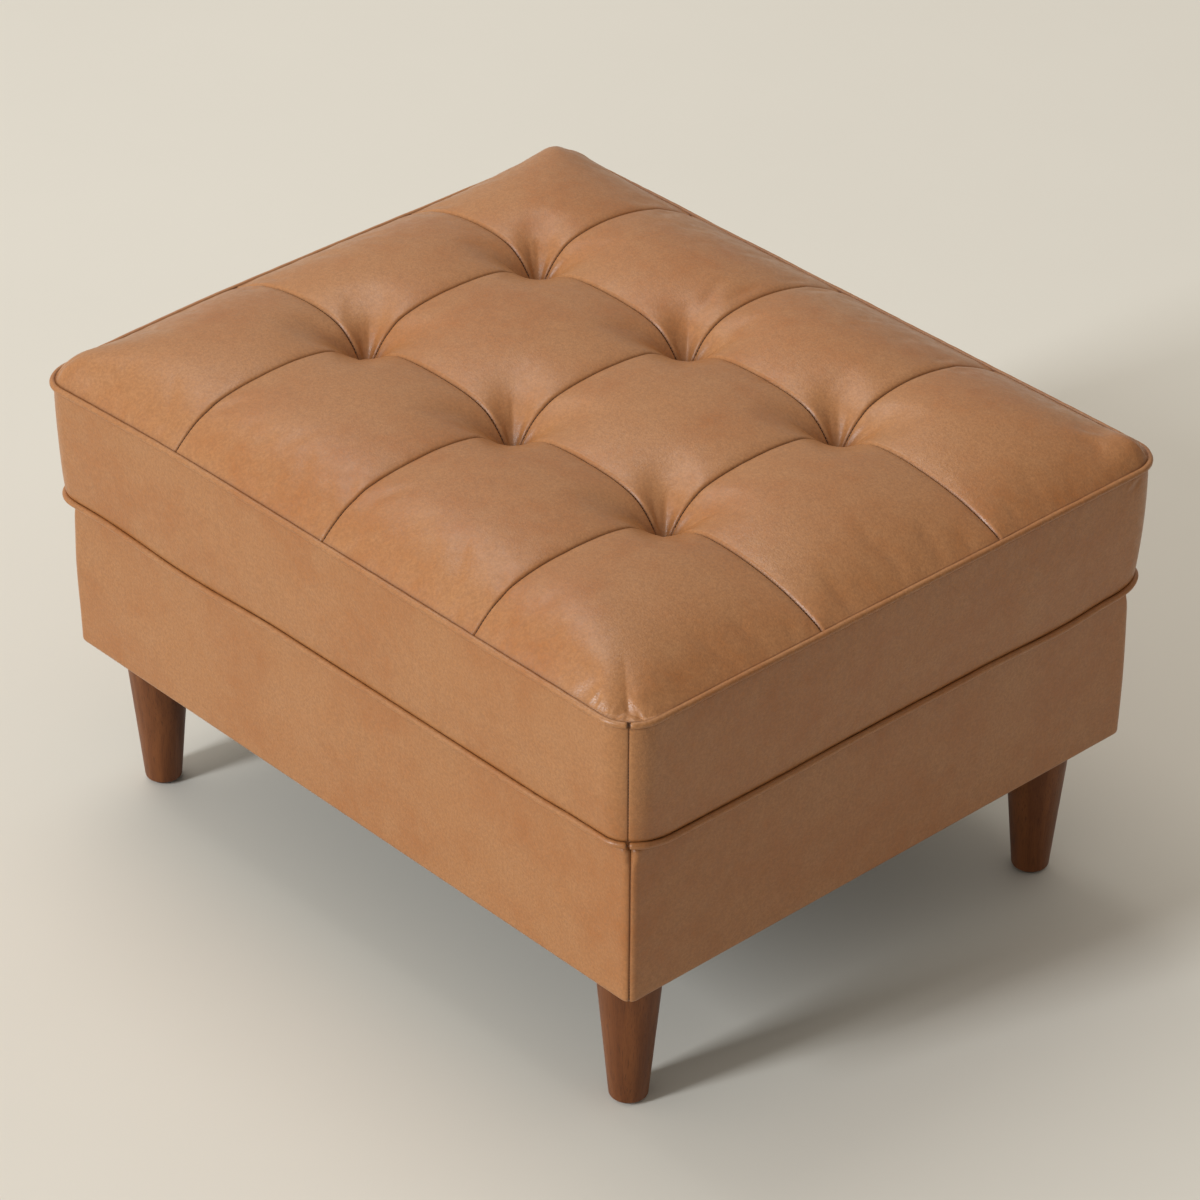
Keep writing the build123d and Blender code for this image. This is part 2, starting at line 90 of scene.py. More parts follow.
def editMesh(piece, *edits):
    work = bmesh.new()
    work.from_mesh(piece.data)
    for edit in edits:
        edit(work)
    work.to_mesh(piece.data)
    work.free()


def joinDoubles(work, distance=0.02):
    bmesh.ops.remove_doubles(work, verts=work.verts, dist=distance * mm)
    bmesh.ops.dissolve_degenerate(work, edges=work.edges, dist=distance * mm * 0.5)


def faceOutwards(work):
    bmesh.ops.recalc_face_normals(work, faces=work.faces)


def dropLoosePoints(work):
    bmesh.ops.delete(work, geom=[v for v in work.verts if not v.link_faces], context="VERTS")


def paintShade(piece, values):
    # how much painted shade, the leather's darker tone, shows at each point
    attribute = piece.data.attributes.new("paintedShade", "FLOAT", "POINT")
    attribute.data.foreach_set("value", np.clip(values, 0, 1).astype(np.float32))


def gridFaces(rows, columns, offset=0, closedRows=False, closedColumns=False, flip=False):
    faces = []
    for r in range(rows if closedRows else rows - 1):
        for c in range(columns if closedColumns else columns - 1):
            r2, c2 = (r + 1) % rows, (c + 1) % columns
            quad = [r * columns + c, r * columns + c2, r2 * columns + c2, r2 * columns + c]
            quad = [offset + v for v in quad]
            faces.append(quad[::-1] if flip else quad)
    return faces


def quarter(radius, steps, first=0):
    # inset and drop along a quarter circle, from the flat side round to the upright one
    angles = [math.pi / 2 * k / steps for k in range(first, steps + 1)]
    return [(radius * (1 - math.sin(angle)), radius * (1 - math.cos(angle))) for angle in angles]


def thicken(piece, thickness):
    solid = piece.modifiers.new("thickness", "SOLIDIFY")
    solid.thickness = thickness * mm
    solid.offset = -1


def tubeFaces(rings, sides, start=0):
    # a closed tube of rings with a cap at each end
    last = start + (rings - 1) * sides
    faces = gridFaces(rings, sides, start, closedColumns=True)
    faces.append([start + s for s in range(sides)])
    faces.append([last + s for s in reversed(range(sides))])
    return faces


def borderOf(rows, columns):
    # indices round a grid's border, in order
    ring = [c for c in range(columns)] + [r * columns + columns - 1 for r in range(1, rows)]
    ring += [(rows - 1) * columns + c for c in range(columns - 2, -1, -1)]
    return ring + [r * columns for r in range(rows - 2, 0, -1)]


def waves(points, seed, size, octaves=2):
    # smooth repeatable noise in about -1..1 from a few turned sine fields, points in mm
    rng = np.random.default_rng(seed)
    total = np.zeros(len(points))
    weight = 0.0
    for octave in range(octaves):
        scale = size / (1.9 ** octave)
        for _ in range(4):
            way = rng.normal(size=points.shape[1])
            way = way / np.linalg.norm(way)
            total += np.sin(points @ way * (2 * math.pi / scale) + rng.uniform(0, 6.28)) / (1.6 ** octave)
        weight += 2.2 / (1.6 ** octave)
    return total / weight


def stations(start, end, pitch, marks=(), offsets=(), bands=()):
    # sorted places from start to end: exact ones round each mark, and finer pitches inside the bands
    places = [start]
    while places[-1] < end:
        place = places[-1]
        step = pitch
        for low, high, finer in bands:
            if low - pitch <= place <= high:
                step = min(step, finer)
        places.append(place + step)
    places[-1] = end
    for mark in marks:
        reach = max(offsets) + 0.6
        places = [s for s in places if abs(s - mark) > reach]
        places += [mark + side * off for off in offsets for side in (-1, 1)] + [mark]
    return np.array(sorted(set(round(s, 4) for s in places)))


def reliefOf(x, y, marks):
    # each mark is a soft valley (or ridge, where its depth is negative) along a short line
    total = np.zeros(len(x))
    for x0, y0, x1, y1, depth, width, spread in marks:
        length = math.hypot(x1 - x0, y1 - y0)
        ux, uy = (x1 - x0) / length, (y1 - y0) / length
        near = np.hypot(x - (x0 + x1) / 2, y - (y0 + y1) / 2) < length * 0.75 + 4 * width
        dx, dy = x[near] - x0, y[near] - y0
        along = (dx * ux + dy * uy) / length
        off = np.abs(dy * ux - dx * uy)
        wide = width * (1 + spread * np.clip(along, 0, 1))
        window = smooth((along + 0.12) / 0.3) * smooth((1.1 - along) / 0.75)
        total[near] += depth * window * np.exp(-(off / wide) ** 2)
    return total


# Materials
def newMaterial(name):
    material = bpy.data.materials.new(name)
    material.use_nodes = True
    tree = material.node_tree
    tree.nodes.clear()
    output = tree.nodes.new("ShaderNodeOutputMaterial")
    shader = tree.nodes.new("ShaderNodeBsdfPrincipled")
    tree.links.new(shader.outputs["BSDF"], output.inputs["Surface"])
    return material, tree, shader


def node(tree, kind, **values):
    made = tree.nodes.new(kind)
    for key, value in values.items():
        setattr(made, key, value)
    return made


def groupTree(name, inputs, outputs, kind="ShaderNodeTree"):
    tree = bpy.data.node_groups.new(name, kind)
    for label, socketKind, value in inputs:
        socket = tree.interface.new_socket(label, in_out="INPUT", socket_type=socketKind)
        if value is not None:
            socket.default_value = value
    for label, socketKind in outputs:
        tree.interface.new_socket(label, in_out="OUTPUT", socket_type=socketKind)
    return tree, tree.nodes.new("NodeGroupInput"), tree.nodes.new("NodeGroupOutput")


def mathNode(tree, operation, first, second=None, third=None, clamp=False):
    made = node(tree, "ShaderNodeMath", operation=operation, use_clamp=clamp)
    for index, value in enumerate((first, second, third)):
        if value is None:
            continue
        if isinstance(value, (int, float)):
            made.inputs[index].default_value = value
        else:
            tree.links.new(value, made.inputs[index])
    return made.outputs[0]


def mixColor(tree, factor, first, second, blend="MIX"):
    made = node(tree, "ShaderNodeMix", data_type="RGBA", blend_type=blend)
    for socket, value in ((made.inputs[0], factor), (made.inputs[6], first), (made.inputs[7], second)):
        if isinstance(value, (int, float)):
            socket.default_value = value
        elif isinstance(value, (tuple, list)):
            socket.default_value = (*value, 1.0)
        else:
            tree.links.new(value, socket)
    return made.outputs[2]


def ranged(tree, value, low, high, toLow=0.0, toHigh=1.0, smoothStep=False):
    made = node(tree, "ShaderNodeMapRange", interpolation_type="SMOOTHSTEP" if smoothStep else "LINEAR")
    feed(tree, made, Value=value, From_Min=low, From_Max=high, To_Min=toLow, To_Max=toHigh)
    return made.outputs["Result"]


def noiseTexture(tree, vector, scale, detail=3.0, rough=0.5):
    made = node(tree, "ShaderNodeTexNoise")
    feed(tree, made, Vector=vector, Scale=scale, Detail=detail, Roughness=rough)
    return made.outputs["Fac"]


def bumpNormal(tree, height, strength, distance):
    bump = node(tree, "ShaderNodeBump")
    feed(tree, bump, Strength=strength, Distance=distance, Height=height)
    return bump.outputs["Normal"]


def placeGroup(tree, group, **values):
    made = tree.nodes.new("ShaderNodeGroup")
    made.node_tree = group
    feed(tree, made, **values)
    return made


def objectCoordinates(tree):
    return tree.nodes.new("ShaderNodeTexCoord").outputs["Object"]


def feed(tree, target, **values):
    # numbers are set and sockets are linked; underscores stand for the spaces in a label
    for label, value in values.items():
        socket = target.inputs[label.replace("_", " ")]
        if isinstance(value, (int, float)):
            socket.default_value = value
        else:
            tree.links.new(value, socket)


def buildLeatherGroup():
    # mottled colour masks, fine pebble grain and gloss variation of the upholstery leather
    tree, entry, leave = groupTree(
        "leatherHide",
        [("Vector", "NodeSocketVector", None), ("Patch Size", "NodeSocketFloat", 0.09),
         ("Grain Size", "NodeSocketFloat", 0.0014)],
        [("Patches", "NodeSocketFloat"), ("Clouds", "NodeSocketFloat"), ("Flecks", "NodeSocketFloat"),
         ("Grain", "NodeSocketFloat"), ("Gloss", "NodeSocketFloat")])
    vector = entry.outputs["Vector"]
    perPatch = mathNode(tree, "DIVIDE", 1.0, entry.outputs["Patch Size"])
    perGrain = mathNode(tree, "DIVIDE", 1.0, entry.outputs["Grain Size"])

    def scaledNoise(scale, factor, detail, rough):
        return noiseTexture(tree, vector, mathNode(tree, "MULTIPLY", scale, factor), detail, rough)

    patches = ranged(tree, scaledNoise(perPatch, 1.0, 4.0, 0.6), 0.38, 0.64, smoothStep=True)
    clouds = ranged(tree, scaledNoise(perPatch, 4.6, 5.0, 0.68), 0.3, 0.7)
    flecks = ranged(tree, scaledNoise(perPatch, 38.0, 4.0, 0.75), 0.38, 0.62)
    cells = node(tree, "ShaderNodeTexVoronoi", feature="SMOOTH_F1")
    feed(tree, cells, Vector=vector, Scale=perGrain, Smoothness=0.35)
    pebble = mathNode(tree, "SUBTRACT", 1.0, cells.outputs["Distance"])
    fine = scaledNoise(perGrain, 0.5, 2.0, 0.6)
    pebble, fine = mathNode(tree, "MULTIPLY", pebble, 0.7), mathNode(tree, "MULTIPLY", fine, 0.9)
    feed(tree, leave, Patches=patches, Clouds=clouds, Flecks=flecks, Grain=mathNode(tree, "ADD", pebble, fine),
         Gloss=scaledNoise(perPatch, 12.0, 3.0, 0.55))
    return tree


leatherGroup = buildLeatherGroup()

tanHide = {
    "tan": (0.412, 0.173, 0.057),
    "warm": (0.378, 0.134, 0.033),
    "pale": (0.436, 0.208, 0.084),
    "dull": (0.258, 0.108, 0.036),
    # painted shade: the dark tone laid into creases, pits, hems and hidden faces
    "shadeTone": (0.140, 0.050, 0.016),
    "patchSize": 0.11,
    "grainSize": 0.0015,
    "grainDepth": 0.00026,
    "roughness": 0.37,
    "specular": 0.50,
}


def leatherMaterial(name, hide):
    material, tree, shader = newMaterial(name)
    place = objectCoordinates(tree)
    group = placeGroup(tree, leatherGroup, Vector=place,
                       Patch_Size=hide["patchSize"], Grain_Size=hide["grainSize"])
    # mask of painted shade, read from the mesh
    paintedShade = node(tree, "ShaderNodeAttribute", attribute_name="paintedShade").outputs["Fac"]
    color = mixColor(tree, group.outputs["Patches"], hide["tan"], hide["warm"])
    color = mixColor(tree, mathNode(tree, "MULTIPLY", group.outputs["Clouds"], 0.6), color, hide["pale"])
    color = mixColor(tree, mathNode(tree, "MULTIPLY", group.outputs["Flecks"], 0.55), color, hide["dull"])
    color = mixColor(tree, paintedShade, color, hide["shadeTone"])
    rough = ranged(tree, group.outputs["Gloss"], 0.3, 0.7, hide["roughness"] - 0.05, hide["roughness"] + 0.08)
    feed(tree, shader, Base_Color=color, Roughness=rough, Specular_IOR_Level=hide["specular"],
         Normal=bumpNormal(tree, group.outputs["Grain"], 0.6, hide["grainDepth"]))
    return material


leather = leatherMaterial("tanLeather", tanHide)


def buildWoodGroup():
    # long fibres and pores along Z, with soft rings, for the stained legs and the bare frame
    tree, entry, leave = groupTree(
        "woodFigure",
        [("Vector", "NodeSocketVector", None), ("Ring Size", "NodeSocketFloat", 0.012),
         ("Pore Size", "NodeSocketFloat", 0.0007)],
        [("Figure", "NodeSocketFloat"), ("Pores", "NodeSocketFloat")])
    vector = entry.outputs["Vector"]
    bend = node(tree, "ShaderNodeTexNoise")
    feed(tree, bend, Vector=vector, Scale=9.0)
    offset = node(tree, "ShaderNodeVectorMath", operation="SCALE")
    tree.links.new(bend.outputs["Color"], offset.inputs[0])
    offset.inputs["Scale"].default_value = 0.012
    bent = node(tree, "ShaderNodeVectorMath", operation="ADD")
    tree.links.new(vector, bent.inputs[0])
    tree.links.new(offset.outputs[0], bent.inputs[1])
    stretch = node(tree, "ShaderNodeVectorMath", operation="MULTIPLY")
    tree.links.new(bent.outputs[0], stretch.inputs[0])
    stretch.inputs[1].default_value = (1.0, 1.0, 0.05)

    def fibre(size, detail):
        return noiseTexture(tree, stretch.outputs[0], mathNode(tree, "DIVIDE", 1.0, size), detail)

    figure = ranged(tree, fibre(entry.outputs["Ring Size"], 4.0), 0.3, 0.7, smoothStep=True)
    pores = ranged(tree, fibre(entry.outputs["Pore Size"], 2.0), 0.52, 0.72)
    feed(tree, leave, Figure=figure, Pores=pores)
    return tree


woodGroup = buildWoodGroup()

walnutFinish = {
    "light": (0.205, 0.067, 0.018), "dark": (0.130, 0.039, 0.010), "pore": (0.060, 0.018, 0.005),
    "roughness": 0.42, "ringSize": 0.010, "specular": 0.26, "coat": 0.05, "turn": None,
}
pineFinish = {
    "light": (0.62, 0.43, 0.22), "dark": (0.50, 0.31, 0.14), "pore": (0.34, 0.20, 0.09),
    "roughness": 0.62, "ringSize": 0.020, "specular": 0.30, "coat": 0.0, "turn": (0, math.pi / 2, 0),
}


def woodMaterial(name, wood):
    material, tree, shader = newMaterial(name)
    place = objectCoordinates(tree)
    if wood["turn"]:
        mapping = node(tree, "ShaderNodeMapping")
        mapping.inputs["Rotation"].default_value = wood["turn"]
        tree.links.new(place, mapping.inputs["Vector"])
        place = mapping.outputs[0]
    group = placeGroup(tree, woodGroup, Vector=place, Ring_Size=wood["ringSize"], Pore_Size=0.0008)
    figure = group.outputs["Figure"]
    color = mixColor(tree, figure, wood["light"], wood["dark"])
    color = mixColor(tree, mathNode(tree, "MULTIPLY", group.outputs["Pores"], 0.6), color, wood["pore"])
    rough = ranged(tree, figure, 0.0, 1.0, wood["roughness"], wood["roughness"] + 0.08)
    grain = mathNode(tree, "SUBTRACT", 1.0, group.outputs["Pores"])
    feed(tree, shader, Base_Color=color, Roughness=rough, Specular_IOR_Level=wood["specular"],
         Coat_Weight=wood["coat"], Coat_Roughness=0.25, Normal=bumpNormal(tree, grain, 0.35, 0.0002))
    return material


walnutStain = woodMaterial("walnutStain", walnutFinish)
barePine = woodMaterial("barePine", pineFinish)


def buildWeaveGroup():
    # over-and-under threads on the flat of a cloth, from Object X and Y
    tree, entry, leave = groupTree(
        "plainWeave",
        [("Vector", "NodeSocketVector", None), ("Thread", "NodeSocketFloat", 0.001)],
        [("Height", "NodeSocketFloat"), ("Over", "NodeSocketFloat")])
    divide = node(tree, "ShaderNodeVectorMath", operation="SCALE")
    tree.links.new(entry.outputs["Vector"], divide.inputs[0])
    tree.links.new(mathNode(tree, "DIVIDE", math.pi, entry.outputs["Thread"]), divide.inputs["Scale"])
    split = node(tree, "ShaderNodeSeparateXYZ")
    tree.links.new(divide.outputs[0], split.inputs[0])
    sineX = mathNode(tree, "SINE", split.outputs["X"])
    sineY = mathNode(tree, "SINE", split.outputs["Y"])
    over = mathNode(tree, "MULTIPLY", sineX, sineY)
    ridge = mathNode(tree, "MAXIMUM", mathNode(tree, "ABSOLUTE", sineX), mathNode(tree, "ABSOLUTE", sineY))
    lift = mathNode(tree, "ADD", 0.6, mathNode(tree, "MULTIPLY", over, 0.4))
    feed(tree, leave, Height=mathNode(tree, "MULTIPLY", ridge, lift), Over=ranged(tree, over, -1.0, 1.0))
    return tree


weaveGroup = buildWeaveGroup()


def clothMaterial(name, light, dark, thread, roughness=0.85, depth=0.0003):
    material, tree, shader = newMaterial(name)
    place = objectCoordinates(tree)
    group = placeGroup(tree, weaveGroup, Vector=place, Thread=thread)
    tone = noiseTexture(tree, place, 60.0, 4.0, 0.6)
    color = mixColor(tree, group.outputs["Over"], dark, light)
    color = mixColor(tree, mathNode(tree, "MULTIPLY", tone, 0.35), color, dark)
    feed(tree, shader, Base_Color=color, Roughness=roughness, Specular_IOR_Level=0.2,
         Normal=bumpNormal(tree, group.outputs["Height"], 0.6, depth))
    return material


blackLining = clothMaterial("blackLining", (0.030, 0.029, 0.028), (0.014, 0.014, 0.014), 0.0011)
canvasCloth = clothMaterial("canvasCloth", (0.62, 0.55, 0.42), (0.45, 0.39, 0.28), 0.0009)
elasticWeb = clothMaterial("elasticWeb", (0.06, 0.05, 0.042), (0.02, 0.017, 0.015), 0.0021)


def speckledMaterial(name, light, dark, scale, roughness, metallic=0.0, depth=0.0002):
    material, tree, shader = newMaterial(name)
    speckle = noiseTexture(tree, objectCoordinates(tree), scale, 3.0, 0.6)
    feed(tree, shader, Base_Color=mixColor(tree, ranged(tree, speckle, 0.35, 0.65), dark, light),
         Roughness=ranged(tree, speckle, 0.3, 0.7, roughness - 0.05, roughness + 0.06),
         Metallic=metallic, Normal=bumpNormal(tree, speckle, 0.3, depth))
    return material


brownThread = speckledMaterial("brownThread", (0.070, 0.028, 0.012), (0.035, 0.013, 0.006), 3000.0, 0.6)
cutFoam = speckledMaterial("cutFoam", (0.84, 0.79, 0.60), (0.70, 0.64, 0.45), 900.0, 0.95, depth=0.0006)
zincPlate = speckledMaterial("zincPlate", (0.68, 0.68, 0.66), (0.52, 0.52, 0.52), 420.0, 0.34, 1.0)
nylonGlide = speckledMaterial("nylonGlide", (0.060, 0.045, 0.036), (0.042, 0.032, 0.026), 900.0, 0.5)
waxedTwine = speckledMaterial("waxedTwine", (0.20, 0.10, 0.05), (0.12, 0.055, 0.028), 1500.0, 0.7)
paleWasher = speckledMaterial("paleWasher", (0.72, 0.70, 0.62), (0.62, 0.60, 0.52), 500.0, 0.45)
print("materials made")

# Where the CAD model has the cushion
weltRadius = (highOf("top_welt")[2] - lowOf("top_welt")[2]) / 2
weltHalfX = highOf("top_welt")[0] - weltRadius
weltHalfY = highOf("top_welt")[1] - weltRadius
topWeltZ = highOf("top_welt")[2] - weltRadius
bottomWeltZ = highOf("bottom_welt")[2] - weltRadius
bottomInset = highOf("top_welt")[0] - highOf("bottom_welt")[0]

droop = {"x": -weltHalfX, "y": -weltHalfY, "drop": 9.0, "reach": 122.0}


def drooped(x, y, d=droop):
    # the front left corner of the cushion hangs a little
    far = np.hypot(np.asarray(x) - d["x"], np.asarray(y) - d["y"])
    return d["drop"] * np.exp(-(far / d["reach"]) ** 1.6)


# how far the bottom edge hangs down beside the base: place along each side, drop
bottomSag = {
    "front": ((-370, -1.5), (-340, 0.0), (-180, 9.0), (-60, 5.0), (270, 4.8), (320, 3.0), (370, 2.5)),
    "right": ((-303, 2.5), (-262, 9.0), (-140, 10.0), (-50, 8.3),
              (95, 8.6), (200, 11.0), (268, 7.0), (303, 1.0)),
    "back": ((-370, 2.0), (-280, 5.0), (0, 6.0), (280, 5.0), (370, 1.0)),
    "left": ((-303, -1.5), (-220, 4.0), (60, 6.0), (230, 5.0), (303, 2.0)),
}


def bottomDrop(x, y):
    x, y = np.asarray(x, float), np.asarray(y, float)
    onX = np.abs(x) / weltHalfX > np.abs(y) / weltHalfY
    total = np.zeros(x.shape)
    for side, along, here in (("front", x, ~onX & (y < 0)), ("back", x, ~onX & (y >= 0)),
                              ("right", y, onX & (x > 0)), ("left", y, onX & (x <= 0))):
        knots, drops = np.array(bottomSag[side], float).T
        index = np.clip(np.searchsorted(knots, along) - 1, 0, len(knots) - 2)
        share = smooth((along - knots[index]) / (knots[index + 1] - knots[index]))
        total = np.where(here, mix(drops[index], drops[index + 1], share), total)
    return total


topCover = {
    "halfX": weltHalfX - 1.8,
    "halfY": weltHalfY - 1.8,
    "cornerRadius": 31.0,
    "edgeZ": topWeltZ + 1.9,
    "crossSeamsFront": (-192.5, 6.0, 199.0),   # where the seams really run, a little aslant
    "crossSeamsBack": (-208.0, -9.0, 184.0),
    "longSeamsLeft": (-92.5, 117.0),
    "longSeamsRight": (-99.0, 111.0),
    "apex": 43.5,
    "uneven": 1.4,              # panels differ in height by up to this much
    "bubblePower": 2.2,
    "crossDrop": 6.0,
    "longDrop": 12.0,
    "seamPower": 2.0,
    "tuftDepth": 38.0,
    "tuftReach": 19.8,
    "tuftPower": 1.23,
    "panelReachShare": (1.16, 1.40),    # between two seams a tuft's pit reaches further than along them
    "edges": {                  # panel run, seam run, panel power, seam power
        "front": (28.0, 29.5, 1.0, 1.1),
        "back": (55.0, 52.0, 1.25, 1.3),
        "right": (58.0, 58.0, 1.0, 1.0),
        "left": (48.0, 45.0, 1.2, 1.25),
    },
    "corners": [                # side signs, how much fuller the cover is there, how far that reaches, its norm
        (-1, 1, 0.56, 105.0, 3.1), (1, 1, 0.74, 46.0, 5.1), (-1, -1, 0.55, 60.0, 4.5), (1, -1, 0.15, 40.0, 2.4),
    ],
    "edgeNorm": 2.6,
    "grooveDepth": 2.1,
    "grooveWidth": 0.85,
    "rolledWidth": 1.7,
    "lipHeight": 0.6,
    "lipPlace": 3.0,
    "lipWidth": 1.4,
    "shoulderDepth": 0.8,
    "shoulderWidth": 2.8,
    "skirtLift": 0.2,
    "skirtInset": 2.4,
    "seamOffsets": (0.35, 0.8, 1.4, 2.3, 3.4),
    "pitch": 4.2,
    "tuftPitch": 1.55,
    "tuftBand": 40.0,
    "borderPitch": 1.7,
    "borderBand": 22.0,
    "cornerPitch": 1.05,
    "cornerBand": 50.0,
    "seed": 11,
}
tuftFolds = {
    "seed": 23,
    "count": 3, "depth": (0.7, 1.8), "start": (8.0, 11.0), "end": (26.0, 46.0), "width": 1.7, "spread": 0.9,
    "fan": 17, "fanWander": 4, "bend": 0.06,    # degrees between folds, their wander, and a turn in radians
    "lengths": (1.15, 0.85),                    # share of the end for the middle fold and for the others
}
cornerFolds = {
    # corner signs, range along the outline from the corner's middle, count, depth, width, length
    "clusters": [
        (1, -1, (-66, 20), 17, (0.45, 0.95), (1.1, 1.7), (8, 19)),
        (-1, -1, (-22, 22), 7, (0.3, 0.7), (1.2, 1.8), (6, 13)),
        (1, 1, (-26, 30), 6, (0.3, 0.8), (1.4, 2.2), (8, 18)),
        (-1, 1, (-24, 24), 6, (0.3, 0.7), (1.4, 2.2), (8, 16)),
    ],
    "ridges": 0.35,     # this share of them stand up instead
    "ridgeShare": -0.7,
    "turn": 0.45,
    "start": (2.0, 5.0),
    "spread": 0.4,
    "seed": 29,
}


def seamNodes(first, second, half, share):
    # places of the border, the seams and the other border, for each share across
    rows = [np.full_like(share, -half)]
    rows += [mix(a, b, share) for a, b in zip(first, second)]
    rows.append(np.full_like(share, half))
    return rows


def cellOf(value, half, count):
    # cell number and place in the cell from -1 to 1
    width = 2 * half / count
    index = np.clip(((value + half) / width).astype(int), 0, count - 1)
    return index, (value + half - index * width) / width * 2 - 1


def realPlace(p, q, t=topCover):
    # from the even sewing grid to the slanted one
    a, b = t["halfX"], t["halfY"]
    columns, sx = cellOf(p, a, 4)
    rows, sy = cellOf(q, b, 3)
    xs = np.array(seamNodes(t["crossSeamsFront"], t["crossSeamsBack"], a, (q + b) / (2 * b)))
    ys = np.array(seamNodes(t["longSeamsLeft"], t["longSeamsRight"], b, (p + a) / (2 * a)))
    number = np.arange(len(p))
    x = mix(xs[columns, number], xs[columns + 1, number], (sx + 1) / 2)
    y = mix(ys[rows, number], ys[rows + 1, number], (sy + 1) / 2)
    return x, y


def roundedPlace(x, y, a, b, radius, start=0.8):
    # draws the corners of a rectangular sheet in to a rounded outline
    level = np.maximum(np.abs(x) / a, np.abs(y) / b)
    level = np.maximum(level, 1e-9)
    bx, by = np.abs(x) / level, np.abs(y) / level
    onSide = bx >= a - 1e-6
    along = np.where(onSide, by - (b - radius), radius + (a - bx))
    inCorner = (bx > a - radius) & (by > b - radius)
    angle = np.clip(along / (2 * radius), 0, 1) * math.pi / 2
    cx, cy = a - radius + radius * np.cos(angle), b - radius + radius * np.sin(angle)
    share = smooth((level - start) / (1 - start)) * inCorner
    dx, dy = (cx - bx) * share, (cy - by) * share
    return x + np.sign(x) * dx, y + np.sign(y) * dy


def coverPlace(p, q, t=topCover):
    x, y = realPlace(p, q, t)
    return roundedPlace(x, y, t["halfX"], t["halfY"], t["cornerRadius"])


def coverHeight(p, q, t=topCover):
    # height over the welt's crease on the even sewing grid, without grooves and folds
    a, b = t["halfX"], t["halfY"]
    columns, sx = cellOf(p, a, 4)
    rows, sy = cellOf(q, b, 3)
    outerX = ((columns == 0) & (sx < 0)) | ((columns == 3) & (sx > 0))
    outerY = ((rows == 0) & (sy < 0)) | ((rows == 2) & (sy > 0))
    valleyX = np.where(outerX, 0, np.abs(sx) ** t["seamPower"])
    valleyY = np.where(outerY, 0, np.abs(sy) ** t["seamPower"])
    rng = np.random.default_rng(t["seed"])
    lift = rng.uniform(-t["uneven"], t["uneven"], (4, 3))
    bubble = (1 - np.abs(sx) ** t["bubblePower"]) * (1 - np.abs(sy) ** t["bubblePower"])
    height = t["apex"] + lift[columns, rows] * bubble - t["crossDrop"] * valleyX - t["longDrop"] * valleyY
    for i in (-1, 0, 1):
        for j in (-0.5, 0.5):
            dx, dy = p - i * a / 2, q - j * 2 * b / 3
            far = np.hypot(dx, dy)
            turn = np.sin(2 * np.arctan2(dy, dx)) ** 2
            away = (1 + (dy - dx) / np.maximum(far, 1e-6) / math.sqrt(2)) / 2
            reach = t["tuftReach"] * (1 + (mix(*t["panelReachShare"], away) - 1) * turn)
            height = height - t["tuftDepth"] * np.exp(-(far / reach) ** t["tuftPower"])
    fuller = np.zeros(len(p))
    norm = np.full(len(p), t["edgeNorm"])
    for sideX, sideY, amount, reach, ownNorm in t["corners"]:
        here = np.exp(-(np.hypot(a - sideX * p, b - sideY * q) / reach) ** 2)
        fuller = np.maximum(fuller, amount * here)
        norm += (ownNorm - t["edgeNorm"]) * here
    left = 0.0
    for side, distance, share in (("left", p + a, valleyY), ("right", a - p, valleyY),
                                  ("front", q + b, valleyX), ("back", b - q, valleyX)):
        panelRun, seamRun, panelPower, seamPower = t["edges"][side]
        run = mix(panelRun, seamRun, share) * (1 - fuller)
        power = mix(mix(panelPower, seamPower, share), 1.0, fuller)
        left = left + np.exp(-(np.maximum(distance, 0) / run) ** power) ** norm
    return height * np.clip(1 - left ** (1 / norm), 0, 1)


def seamDistances(p, q, t=topCover):
    a, b = t["halfX"], t["halfY"]
    seamX = np.min([np.abs(p - i * a / 2) for i in (-1, 0, 1)], axis=0)
    seamY = np.min([np.abs(q - j * 2 * b / 3) for j in (-0.5, 0.5)], axis=0)
    return seamX, seamY


def farSideOf(q, t):
    # whether the nearest long seam lies in front of this place
    seams = np.array([-1, 1]) * t["halfY"] / 3
    nearest = seams[np.argmin(np.abs(q[:, None] - seams[None, :]), axis=1)]
    return q > nearest


def grooves(p, q, t=topCover):
    total = np.zeros(len(p))
    for number, distance in enumerate(seamDistances(p, q, t)):
        width = t["grooveWidth"]
        if number == 1:
            # the far side of a long seam is rolled over more broadly and stands up a little
            far = farSideOf(q, t)
            width = np.where(far, t["rolledWidth"], width)
            total -= far * t["lipHeight"] * np.exp(-((distance - t["lipPlace"]) / t["lipWidth"]) ** 2)
        total += t["grooveDepth"] * np.exp(-(distance / width) ** 1.5)
        total += t["shoulderDepth"] * np.exp(-(distance / t["shoulderWidth"]) ** 1.4)
    return total


def tuftPlaces(t=topCover):
    a, b = t["halfX"], t["halfY"]
    p = np.array([i * a / 2 for i in (-1, 0, 1) for j in (-0.5, 0.5)])
    q = np.array([j * 2 * b / 3 for i in (-1, 0, 1) for j in (-0.5, 0.5)])
    return np.stack(realPlace(p, q, t), axis=1)


def outlineSpot(sideX, sideY, run, radius=33.0):
    # place and inward direction on the top's outline, run measured from the middle of a corner
    half = math.pi / 4 * radius
    angle = -math.pi / 4 + min(max(run, -half), half) / radius
    over = run - min(max(run, -half), half)
    x = weltHalfX - radius + radius * math.cos(angle) - abs(min(over, 0))
    y = radius - weltHalfY + radius * math.sin(angle) + max(over, 0)
    return sideX * x, -sideY * y, -sideX * math.cos(angle), sideY * math.sin(angle)


